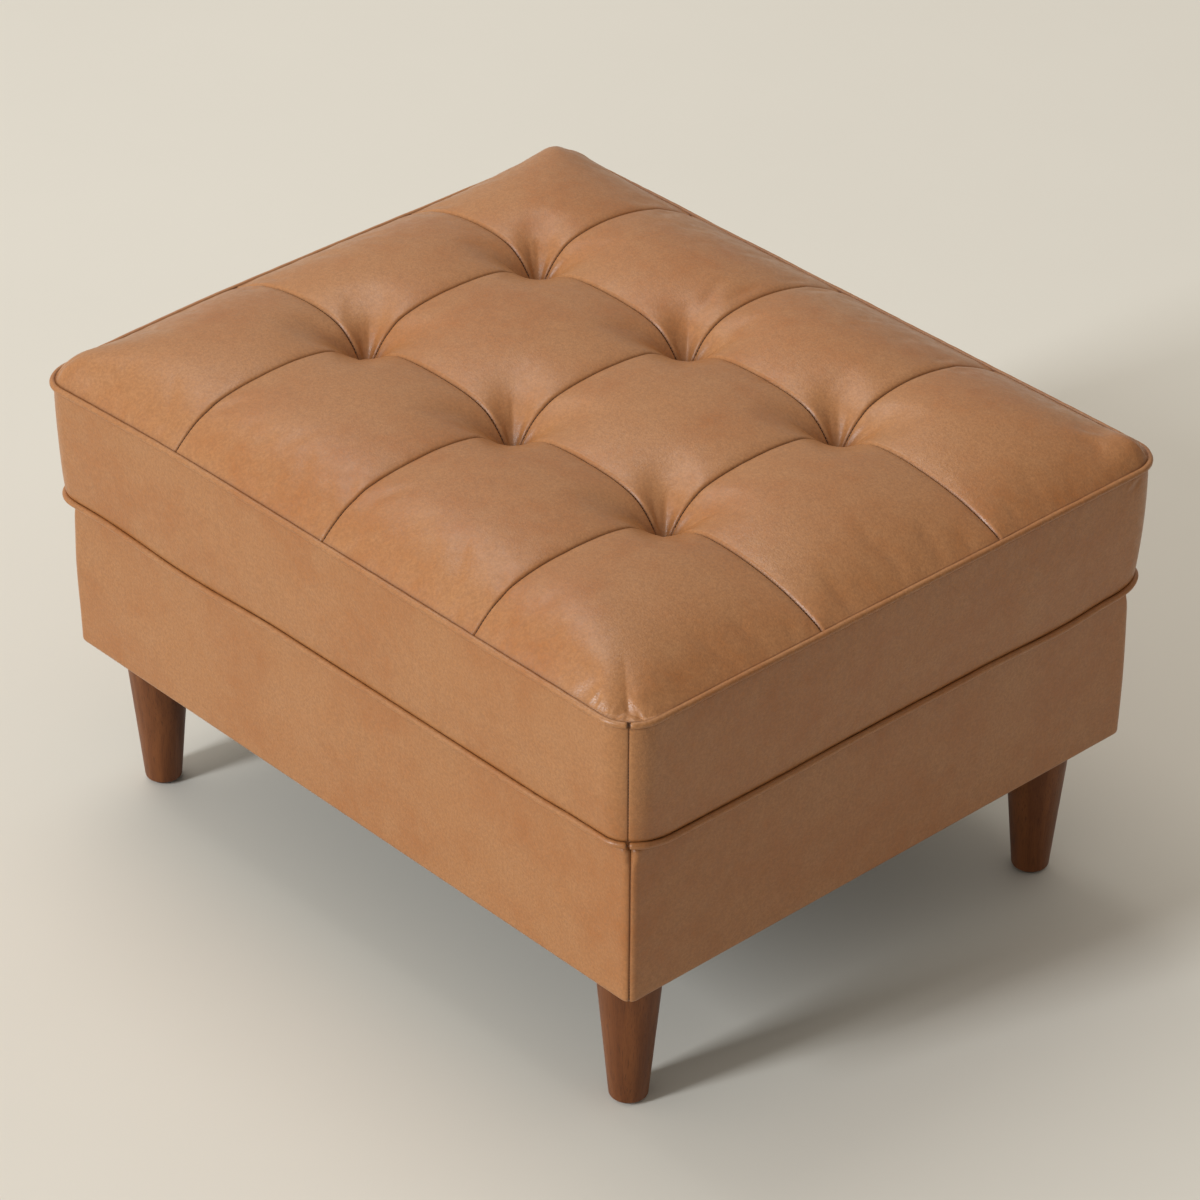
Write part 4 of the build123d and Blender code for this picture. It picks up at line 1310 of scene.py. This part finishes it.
def makeSlab(name, nodeName, spec):
    # a closed soft sheet or block with rounded corners and edges; relief gives the move of its two faces
    low, high = lowOf(nodeName), highOf(nodeName)
    a, b = (high[0] - low[0]) / 2, (high[1] - low[1]) / 2
    edge, radius, taper = spec["edge"], spec["radius"], spec.get("taper", 0.0)

    def evenShares(half, extra):
        even = np.linspace(-1, 1, int(2 * half / spec["pitch"]) + 1)
        return np.unique(np.concatenate([even, spec.get(extra, none)]))

    us, vs = evenShares(a, "us"), evenShares(b, "vs")
    v, u = [g.ravel() for g in np.meshgrid(vs, us, indexing="ij")]
    rows, columns = len(vs), len(us)
    ring = borderOf(rows, columns)
    steps = 4

    def layer(inset, z, keep=None):
        x, y = roundedPlace(u * (a - inset), v * (b - inset), a - inset, b - inset, max(radius - inset, 0.6))
        layerPoints = np.stack([x, y, np.full(len(x), z)], axis=1)
        return layerPoints if keep is None else layerPoints[keep]

    top, bottom = layer(edge, high[2]), layer(edge + taper, low[2])
    topMove, bottomMove = spec["relief"](top), spec["relief"](bottom)
    top[:, 2] -= topMove[0]
    bottom[:, 2] += bottomMove[1]
    points = [top, bottom]
    size = len(top)
    faces = gridFaces(rows, columns) + gridFaces(rows, columns, size, flip=True)
    rings = [ring]
    start = 2 * size
    bend = quarter(edge, steps, 1)
    levels = [(inset, high[2] - drop) for inset, drop in bend]
    levels += [(inset + taper, low[2] + drop) for inset, drop in bend[::-1]]
    for inset, z in levels:
        points.append(layer(inset, z, ring))
        rings.append(list(range(start, start + len(ring))))
        start += len(ring)
    rings.append([size + i for i in ring])
    for first, second in zip(rings[:-1], rings[1:]):
        for i in range(len(ring)):
            j = (i + 1) % len(ring)
            faces.append([first[i], second[i], second[j], first[j]])
    piece = addPiece(name, np.vstack(points), faces, spec["material"], spec["body"])
    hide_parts(nodeName)
    return piece


def calmRelief(size, amount, seed):
    def relief(points):
        away = amount * (0.5 + 0.5 * waves(points, seed, size))
        return away, away
    return relief


def foamRelief(points):
    # seats of the washers, pressed into the underside
    away = 0.3 * (0.5 + 0.5 * waves(points, 41, 60.0))
    washers = np.zeros(len(points))
    for x, y in cadTufts:
        washers = np.maximum(washers, np.hypot(points[:, 0] - x, points[:, 1] - y) < 12.0)
    return away, np.where(washers > 0, 2.3, away * 0.3)


tieBox = (lowOf("tuft_ties"), highOf("tuft_ties"))
knotRadius = 2.2
cadTufts = [(x, y) for x in (tieBox[0][0] + knotRadius, 0.0, tieBox[1][0] - knotRadius)
            for y in (tieBox[0][1] + knotRadius, tieBox[1][1] - knotRadius)]
foamHalf = (highOf("foam_core")[:2] - lowOf("foam_core")[:2]) / 2


def seatLines(axis):
    # shares of the slab's half on both sides of each washer seat's rim
    middles = sorted(set(spot[axis] for spot in cadTufts))
    return np.array([(m + d) / foamHalf[axis] for m in middles for d in (-12.4, -11.6, 11.6, 12.4)])


foamCore = makeSlab("foamCore", "foam_core", {
    "pitch": 9.0, "edge": 2.4, "radius": 30.0, "taper": bottomInset, "material": cutFoam, "slot": "foam",
    "body": "cushion", "relief": foamRelief, "us": seatLines(0), "vs": seatLines(1)})
deckPad = makeSlab("deckPad", "deck_pad", {
    "pitch": 12.0, "edge": 1.2, "radius": 12.0, "material": cutFoam, "slot": "foam", "body": "base",
    "relief": calmRelief(80.0, 0.3, 43)})
bottomPanel = makeSlab("bottomPanel", "bottom_panel", {
    "pitch": 7.0, "edge": 0.4, "radius": 24.0, "material": leather, "slot": "tan_leather", "body": "cushion",
    "relief": calmRelief(120.0, 0.25, 45)})
freeEdge = 7.5     # beyond the base's roll the bottom panel follows its welt down
for vertex in bottomPanel.data.vertices:
    px, py = vertex.co.x / mm, vertex.co.y / mm
    edge = min(highOf("bottom_panel")[0] - abs(px), highOf("bottom_panel")[1] - abs(py))
    follow = float(bottomDrop(px, py)) + float(drooped(px, py))
    vertex.co.z -= follow * float(smooth(1 - edge / freeEdge)) * mm


def makeSheet(name, nodeName, spec):
    # a single stretched layer of cloth with its thickness as a modifier
    low, high = lowOf(nodeName), highOf(nodeName)
    a, b = (high[0] - low[0]) / 2, (high[1] - low[1]) / 2
    xs = np.unique(np.concatenate([np.linspace(-a, a, int(2 * a / spec["pitch"]) + 1), spec["xs"]]))
    ys = np.unique(np.concatenate([np.linspace(-b, b, int(2 * b / spec["pitch"]) + 1), spec["ys"]]))
    y, x = [g.ravel() for g in np.meshgrid(ys, xs, indexing="ij")]
    px, py = roundedPlace(x, y, a, b, spec["radius"], 0.9)
    inner = np.clip(np.minimum(a - np.abs(x), b - np.abs(y)) / 60.0, 0, 1)
    flat = np.stack([x, y], axis=1)
    z = high[2] - spec["sag"] * smooth(inner) * (1 - 0.3 * waves(flat, spec["seed"], 210.0)) - 0.02
    z = z - spec["ripple"] * smooth(inner * 2) * (0.5 + 0.5 * waves(flat, spec["seed"] + 1, 70.0))
    faces = gridFaces(len(ys), len(xs))
    if spec["holes"]:
        middles = flat[np.array(faces)].mean(axis=1)
        for hx, hy, half in spec["holes"]:
            inside = (np.abs(middles[:, 0] - hx) < half) & (np.abs(middles[:, 1] - hy) < half)
            faces = [f for f, drop in zip(faces, inside) if not drop]
            middles = middles[~inside]
    piece = addPiece(name, np.stack([px, py, z], axis=1), faces, spec["material"], "base")
    editMesh(piece, dropLoosePoints)
    thicken(piece, (high[2] - low[2]) * 0.9)
    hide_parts(nodeName)
    return piece


legX = (highOf("leg_front_right")[0] + lowOf("leg_front_right")[0]) / 2
legY = (highOf("leg_back_right")[1] + lowOf("leg_back_right")[1]) / 2
plateHalf = 25.3
plateLines = np.array([-plateHalf, plateHalf])
makeSheet("dustCover", "dust_cover", {
    "pitch": 12.0, "radius": 4.0, "sag": 2.2, "ripple": 0.5, "seed": 51,
    "material": blackLining, "slot": "black_cloth",
    "xs": np.concatenate([legX + plateLines, -legX + plateLines]),
    "ys": np.concatenate([legY + plateLines, -legY + plateLines]),
    "holes": [(sx * legX, sy * legY, plateHalf) for sx in (-1, 1) for sy in (-1, 1)],
    "restsOn": ["basePanelFront", "basePanelBack", "basePanelLeft", "basePanelRight"]})
makeSheet("deckCloth", "deck_cloth", {
    "pitch": 12.0, "radius": 7.0, "sag": 0.0, "ripple": 0.05, "seed": 53,
    "material": canvasCloth, "slot": "deck_cloth",
    "xs": none, "ys": none, "holes": [], "restsOn": ["webbing_long", "webbing_cross"]})
makeSheet("deckCover", "deck_cover", {
    "pitch": 8.0, "radius": 14.0, "sag": 0.0, "ripple": 0.05, "seed": 55,
    "material": blackLining, "slot": "black_cloth",
    "xs": none, "ys": none, "holes": [], "restsOn": ["deckPad"]})
print("pads and cloths made")

webbingBand = {"width": 50.0, "thickness": 1.2, "lift": 1.4, "margin": 3.0, "pitch": 5.0, "selvedge": 0.12}


def makeWebbing(name, nodeName, alongX, w):
    frameTop = highOf("rail_front")[2]
    longPitch = 2 * lowOf("rail_back")[1] / 4
    crossPitch = 2 * lowOf("rail_right")[0] / 5
    longPlaces = [longPitch * (j - 1.5) for j in range(4)]
    crossPlaces = [crossPitch * (i - 2) for i in range(5)]
    places, crossings = (longPlaces, crossPlaces) if alongX else (crossPlaces, longPlaces)
    halfRun = highOf(nodeName)[0 if alongX else 1]
    half = w["width"] / 2
    inner = 1 - w["selvedge"]
    left = [-half, -half + 0.5, -half + 1.5, -half + 4, -half * 0.5]
    across = np.array(left + [0] + [-place for place in left[::-1]])
    thick = np.array([0.5, 0.95, 1.0, inner, inner, inner, inner, inner, 1.0, 0.95, 0.5])
    section = np.concatenate([across, across[::-1]])
    faceShare = np.concatenate([thick, -thick[::-1]])
    points, faces = [], []
    for count, place in enumerate(places):
        first = count if alongX else count + 1
        runs = np.linspace(-halfRun, halfRun, int(2 * halfRun / w["pitch"]))
        start = len(points)
        for run in runs:
            level = 0.0
            for number, crossing in enumerate(crossings):
                if (number + first) % 2:
                    gap = abs(run - crossing) - half - w["margin"]
                    slope = (abs(crossings[1] - crossings[0]) - 2 * half - 2 * w["margin"])
                    level = max(level, 1 - float(smooth(np.array(gap / slope))))
            middle = frameTop + w["lift"] * level + w["thickness"] / 2
            for offset, share in zip(section, faceShare):
                z = middle + share * w["thickness"] / 2
                points.append((run, place + offset, z) if alongX else (place + offset, run, z))
        faces += tubeFaces(len(runs), len(section), start)
    piece = addPiece(name, points, faces, elasticWeb, "base")
    editMesh(piece, faceOutwards)
    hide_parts(nodeName)


makeWebbing("webbingLong", "webbing_long", True, webbingBand)
makeWebbing("webbingCross", "webbing_cross", False, webbingBand)

twine = {"radius": 0.95, "pitch": 0.9, "twist": 6.0, "sides": 9, "strands": 3, "strandDepth": 0.10}
knot = {"rings": 12, "share": 0.97, "least": 0.2}


def makeTies(t):
    points, faces = [], []
    low, high = tieBox[0][2], tieBox[1][2]
    for x, y in cadTufts:
        heights = np.arange(low, high - 2 * knotRadius, t["pitch"])
        rings = [(z, t["radius"]) for z in heights]
        for k in range(1, knot["rings"]):
            angle = math.pi * k / knot["rings"]
            radius = max(knot["least"], knotRadius * math.sin(angle)) * knot["share"]
            rings.append((high - knotRadius - knotRadius * math.cos(angle), radius))
        start = len(points)
        for z, radius in rings:
            for s in range(t["sides"]):
                angle = 2 * math.pi * s / t["sides"]
                reach = radius * twisted(angle, z, t)
                points.append((x + reach * math.cos(angle), y + reach * math.sin(angle), z))
        faces += tubeFaces(len(rings), t["sides"], start)
    piece = addPiece("tuftTies", points, faces, waxedTwine, "cushion")
    editMesh(piece, faceOutwards)
    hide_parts("tuft_ties")


makeTies(twine)
print("webbing and ties made")


def buildRepeatTree(name, staple):
    # one small shape on every point, turned along the point's aim
    tree, entry, leave = groupTree(
        name,
        [("Geometry", "NodeSocketGeometry", None), ("Length", "NodeSocketFloat", 0.002),
         ("Thickness", "NodeSocketFloat", 0.0005), ("Variation", "NodeSocketFloat", 0.1),
         ("Seed", "NodeSocketInt", 1), ("Material", "NodeSocketMaterial", None)],
        [("Geometry", "NodeSocketGeometry")], "GeometryNodeTree")
    aim = node(tree, "GeometryNodeInputNamedAttribute", data_type="FLOAT_VECTOR")
    aim.inputs["Name"].default_value = "aim"
    turn = node(tree, "FunctionNodeAlignRotationToVector", axis="X")
    tree.links.new(aim.outputs[0], turn.inputs["Vector"])
    random = node(tree, "FunctionNodeRandomValue", data_type="FLOAT")
    tree.links.new(mathNode(tree, "SUBTRACT", 1.0, entry.outputs["Variation"]), random.inputs[2])
    tree.links.new(mathNode(tree, "ADD", 1.0, entry.outputs["Variation"]), random.inputs[3])
    tree.links.new(entry.outputs["Seed"], random.inputs["Seed"])
    scale = node(tree, "ShaderNodeCombineXYZ")
    thickness = entry.outputs["Thickness"]
    length = mathNode(tree, "MULTIPLY", entry.outputs["Length"], random.outputs[1])
    feed(tree, scale, X=length, Y=thickness, Z=thickness)
    if staple:
        join = node(tree, "GeometryNodeJoinGeometry")
        crown, leg = (1.0, 1.0, 0.6), (0.09, 1.0, 2.0)
        for size, shift in ((crown, (0, 0, 0)), (leg, (0.45, 0, 1.0)), (leg, (-0.45, 0, 1.0))):
            cube = node(tree, "GeometryNodeMeshCube")
            cube.inputs["Size"].default_value = size
            moved = node(tree, "GeometryNodeTransform")
            moved.inputs["Translation"].default_value = shift
            tree.links.new(cube.outputs["Mesh"], moved.inputs["Geometry"])
            tree.links.new(moved.outputs[0], join.inputs[0])
        shape = join.outputs[0]
    else:
        ball = node(tree, "GeometryNodeMeshUVSphere")
        feed(tree, ball, Segments=7, Rings=5, Radius=0.5)
        lay = node(tree, "GeometryNodeTransform")
        lay.inputs["Rotation"].default_value = (0, math.pi / 2, 0)
        tree.links.new(ball.outputs["Mesh"], lay.inputs["Geometry"])
        soft = node(tree, "GeometryNodeSetShadeSmooth")
        tree.links.new(lay.outputs[0], soft.inputs["Geometry"])
        shape = soft.outputs[0]
    place = node(tree, "GeometryNodeInstanceOnPoints")
    feed(tree, place, Points=entry.outputs["Geometry"], Instance=shape, Rotation=turn.outputs[0],
         Scale=scale.outputs[0])
    real = node(tree, "GeometryNodeRealizeInstances")
    tree.links.new(place.outputs[0], real.inputs[0])
    paint = node(tree, "GeometryNodeSetMaterial")
    feed(tree, paint, Geometry=real.outputs[0], Material=entry.outputs["Material"])
    feed(tree, leave, Geometry=paint.outputs[0])
    return tree


stitchTree = buildRepeatTree("stitchRow", False)
stapleTree = buildRepeatTree("stapleRow", True)


def makeRepeats(name, tree, places, aims, values, bodyName):
    mesh = meshOf(name + "Points", places, [])
    attribute = mesh.attributes.new("aim", "FLOAT_VECTOR", "POINT")
    attribute.data.foreach_set("vector", np.asarray(aims, dtype=np.float32).ravel())
    source = addObject(name + "Points", mesh)
    modifier = source.modifiers.new("repeat", "NODES")
    modifier.node_group = tree
    for item in tree.interface.items_tree:
        if item.item_type == "SOCKET" and item.in_out == "INPUT" and item.name in values:
            modifier[item.identifier] = values[item.name]
    real = bpy.data.meshes.new_from_object(source.evaluated_get(bpy.context.evaluated_depsgraph_get()))
    real.name = name
    bpy.data.objects.remove(source)
    piece = addObject(name, real)
    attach(piece, bodyName)
    print(name, len(places), "repeats,", len(real.polygons), "faces")
    return piece


def spaced(line, pitch, aimReach=0.8):
    # even places and directions along a polyline
    line = np.asarray(line)
    run = np.concatenate([[0], np.cumsum(np.linalg.norm(np.diff(line, axis=0), axis=1))])
    wanted = np.arange(pitch / 2, run[-1], pitch)

    def placesAt(runs):
        return np.stack([np.interp(runs, run, line[:, k]) for k in range(3)], axis=1)

    aims = placesAt(wanted + aimReach) - placesAt(wanted - aimReach)
    return placesAt(wanted), aims / np.maximum(np.linalg.norm(aims, axis=1), 1e-6)[:, None]


stitches = {
    "pitch": 3.3, "length": 2.5, "thickness": 0.85, "topDepth": 1.0,
    "seamEnd": 3.0,         # how far from the border a seam's row begins
    "tuftClear": 12.0,
}


def coverSeamStitches(s, t=topCover):
    a, b = t["halfX"], t["halfY"]
    q = np.linspace(s["seamEnd"] - b, b - s["seamEnd"], 420)
    p = np.linspace(s["seamEnd"] - a, a - s["seamEnd"], 520)
    lines = [(np.full_like(q, i * a / 2), q) for i in (-1, 0, 1)]
    lines += [(p, np.full_like(p, j * 2 * b / 3)) for j in (-0.5, 0.5)]
    rows = [spaced(coverPoints(*line, t, 0.0), s["pitch"]) for line in lines]
    places, aims = (np.vstack(part) for part in zip(*rows))
    far = np.min([np.hypot(places[:, 0] - x, places[:, 1] - y) for x, y in tuftPlaces()], axis=0)
    keep = far > s["tuftClear"]
    places[:, 2] -= t["shoulderDepth"] + s["topDepth"]
    return places[keep], aims[keep]


def cornerStitches(halfX, halfY, radius, inset, low, high, lowInset, depth, pitch):
    # a straight upright row at each of the four corners
    places, aims = [], []
    for sx in (-1, 1):
        for sy in (-1, 1):
            shares = np.linspace(0, 1, 30)
            line = []
            for k in shares:
                extra = lowInset * (1 - k) - 2.0 * math.sin(math.pi * k) ** 0.7 * (lowInset > 0)
                reach = radius - inset - extra - depth
                line.append((sx * (halfX - radius + reach * math.cos(math.pi / 4)),
                             sy * (halfY - radius + reach * math.sin(math.pi / 4)), mix(low, high, k)))
            line = np.array(line)
            if lowInset > 0:
                x, y = line[:, 0], line[:, 1]
                line[:, 2] -= drooped(x, y) + bottomDrop(x, y) * (1 - shares) ** 2
            found, ways = spaced(line, pitch)
            places.append(found)
            aims.append(ways)
    return np.vstack(places), np.vstack(aims)


def repeatValues(spec, variation, seed, material):
    return {"Length": spec["length"] * mm, "Thickness": spec["thickness"] * mm,
            "Variation": variation, "Seed": seed, "Material": material}


threadValues = repeatValues(stitches, 0.10, 7, brownThread)
topRow = coverSeamStitches(stitches)
boxRow = cornerStitches(weltHalfX, weltHalfY, welts["cornerRadius"], boxing["inset"],
                        bottomWeltZ + 4, topWeltZ - 4, bottomInset, 1.5, stitches["pitch"])
makeRepeats("cushionStitches", stitchTree, np.vstack([topRow[0], boxRow[0]]), np.vstack([topRow[1], boxRow[1]]),
            threadValues, "cushion")
baseRow = cornerStitches(baseHalfX, baseHalfY, basePanel["cornerRadius"], 0.0,
                         baseBottom + 3, baseTop - 34, 0.0, 1.0, stitches["pitch"])
opening = outlinePath(highOf("deck_cover")[0] + 4, highOf("deck_cover")[1] + 4, 8.0, 3.0)[0]
borderLine = np.column_stack([opening, np.full(len(opening), baseTop + 0.1)])
borderRow = spaced(borderLine, stitches["pitch"])
makeRepeats("baseStitches", stitchTree, np.vstack([rightwards(baseRow[0]), borderRow[0]]),
            np.vstack([baseRow[1], borderRow[1]]), threadValues, "base")

staples = {"pitch": 38.0, "inset": 14.0, "length": 10.0, "thickness": 1.0}
hemLine = outlinePath(baseHalfX - staples["inset"], baseHalfY - staples["inset"], 6.0, 5.0)[0]
hemLine = np.column_stack([hemLine, np.full(len(hemLine), lowOf("dust_cover")[2] - 0.2)])
stapleRow = spaced(hemLine, staples["pitch"])
makeRepeats("dustStaples", stapleTree, stapleRow[0], stapleRow[1],
            repeatValues(staples, 0.02, 3, zincPlate), "base")

# Materials of the CAD nodes that stay
nodeMaterials = {
    walnutStain: ("leg_front_left", "leg_front_right", "leg_back_left", "leg_back_right"),
    barePine: ("rail_front", "rail_back", "rail_left", "rail_right", "centre_rail", "corner_blocks"),
    zincPlate: ("rail_screws", "leg_plates", "plate_screws", "hanger_bolts"),
    nylonGlide: ("glide_front_left", "glide_front_right", "glide_back_left", "glide_back_right"),
    paleWasher: ("tuft_washers",),
}
for material, names in nodeMaterials.items():
    for name in names:
        cad = nodes[name]
        if not cad.material_slots:
            cad.data.materials.append(material)
        for materialSlot in cad.material_slots:
            materialSlot.material = material

studio = {
    "floor": (0.725, 0.688, 0.612),
    "key": {"place": (-2.48, -14.16, 7.13), "size": (2.45, 6.95), "power": 1770.0, "color": (0.95, 1.0, 1.05)},
    "fill": {"place": (-1.84, 0.25, 4.31), "size": (2.7, 2.7), "power": 56.0, "color": (1.0, 0.985, 0.95)},
    "world": (1.0, 0.945, 0.865),
    "worldStrength": 0.52,
    "worldFrom": (-0.60, -0.20, 0.77),   # the room is lighter towards here
    "worldRange": (-0.13, 1.37),         # its share of the strength away from there and towards there
}


def makeFloor(s):
    material, tree, shader = newMaterial("paleFloor")
    tone = noiseTexture(tree, objectCoordinates(tree), 1.4, 5.0, 0.6)
    light = s["floor"]
    dark = tuple(v * 0.94 for v in light)
    feed(tree, shader, Base_Color=mixColor(tree, tone, dark, light), Roughness=0.8, Specular_IOR_Level=0.2)
    mesh = bpy.data.meshes.new("floor")
    r = 14.0
    mesh.from_pydata([(-r, -r, 0), (r, -r, 0), (r, r, 0), (-r, r, 0)], [], [[0, 1, 2, 3]])
    mesh.materials.append(material)
    addObject("floor", mesh)


def makeLamp(name, lamp):
    data = bpy.data.lights.new(name, "AREA")
    data.shape = "RECTANGLE"
    data.size, data.size_y = lamp["size"]
    data.energy = lamp["power"]
    data.color = lamp["color"]
    made = addObject(name, data)
    made.location = lamp["place"]
    aim = Vector((0, 0, 0.25)) - Vector(lamp["place"])
    made.rotation_mode = "QUATERNION"
    made.rotation_quaternion = aim.to_track_quat("-Z", "Y")


makeFloor(studio)
makeLamp("keyLamp", studio["key"])
makeLamp("fillLamp", studio["fill"])
world = bpy.data.worlds.new("softRoom")
bpy.context.scene.world = world
world.use_nodes = True
background = world.node_tree.nodes["Background"]
background.inputs["Color"].default_value = (*studio["world"], 1.0)
aimed = node(world.node_tree, "ShaderNodeVectorMath", operation="DOT_PRODUCT")
world.node_tree.links.new(node(world.node_tree, "ShaderNodeTexCoord").outputs["Generated"], aimed.inputs[0])
aimed.inputs[1].default_value = studio["worldFrom"]
weakest, strongest = (share * studio["worldStrength"] for share in studio["worldRange"])
strength = ranged(world.node_tree, aimed.outputs["Value"], -1.0, 1.0, weakest, strongest)
world.node_tree.links.new(strength, background.inputs["Strength"])

viewpoint = {
    "azimuth": 47.36, "elevation": 32.75, "roll": 0.355,
    "place": (2.6672, -2.4469, 2.5700), "focalPixels": 4793.0,
}


def makeCamera(v):
    az, el, roll = (math.radians(v[k]) for k in ("azimuth", "elevation", "roll"))
    back = Vector((math.sin(az) * math.cos(el), -math.cos(az) * math.cos(el), math.sin(el)))
    right = Vector((math.cos(az), math.sin(az), 0.0))
    up = back.cross(right)
    tiltedRight = right * math.cos(roll) + up * math.sin(roll)
    tiltedUp = up * math.cos(roll) - right * math.sin(roll)
    data = bpy.data.cameras.new("camera")
    data.sensor_width = 36.0
    data.lens = v["focalPixels"] / 1200.0 * 36.0
    data.clip_end = 100.0
    camera = addObject("camera", data)
    turned = Matrix((tiltedRight, tiltedUp, back)).transposed()
    camera.matrix_world = Matrix.Translation(v["place"]) @ turned.to_4x4()
    bpy.context.scene.camera = camera


makeCamera(viewpoint)
bpy.context.scene.view_settings.view_transform = "Standard"
print("stage made")
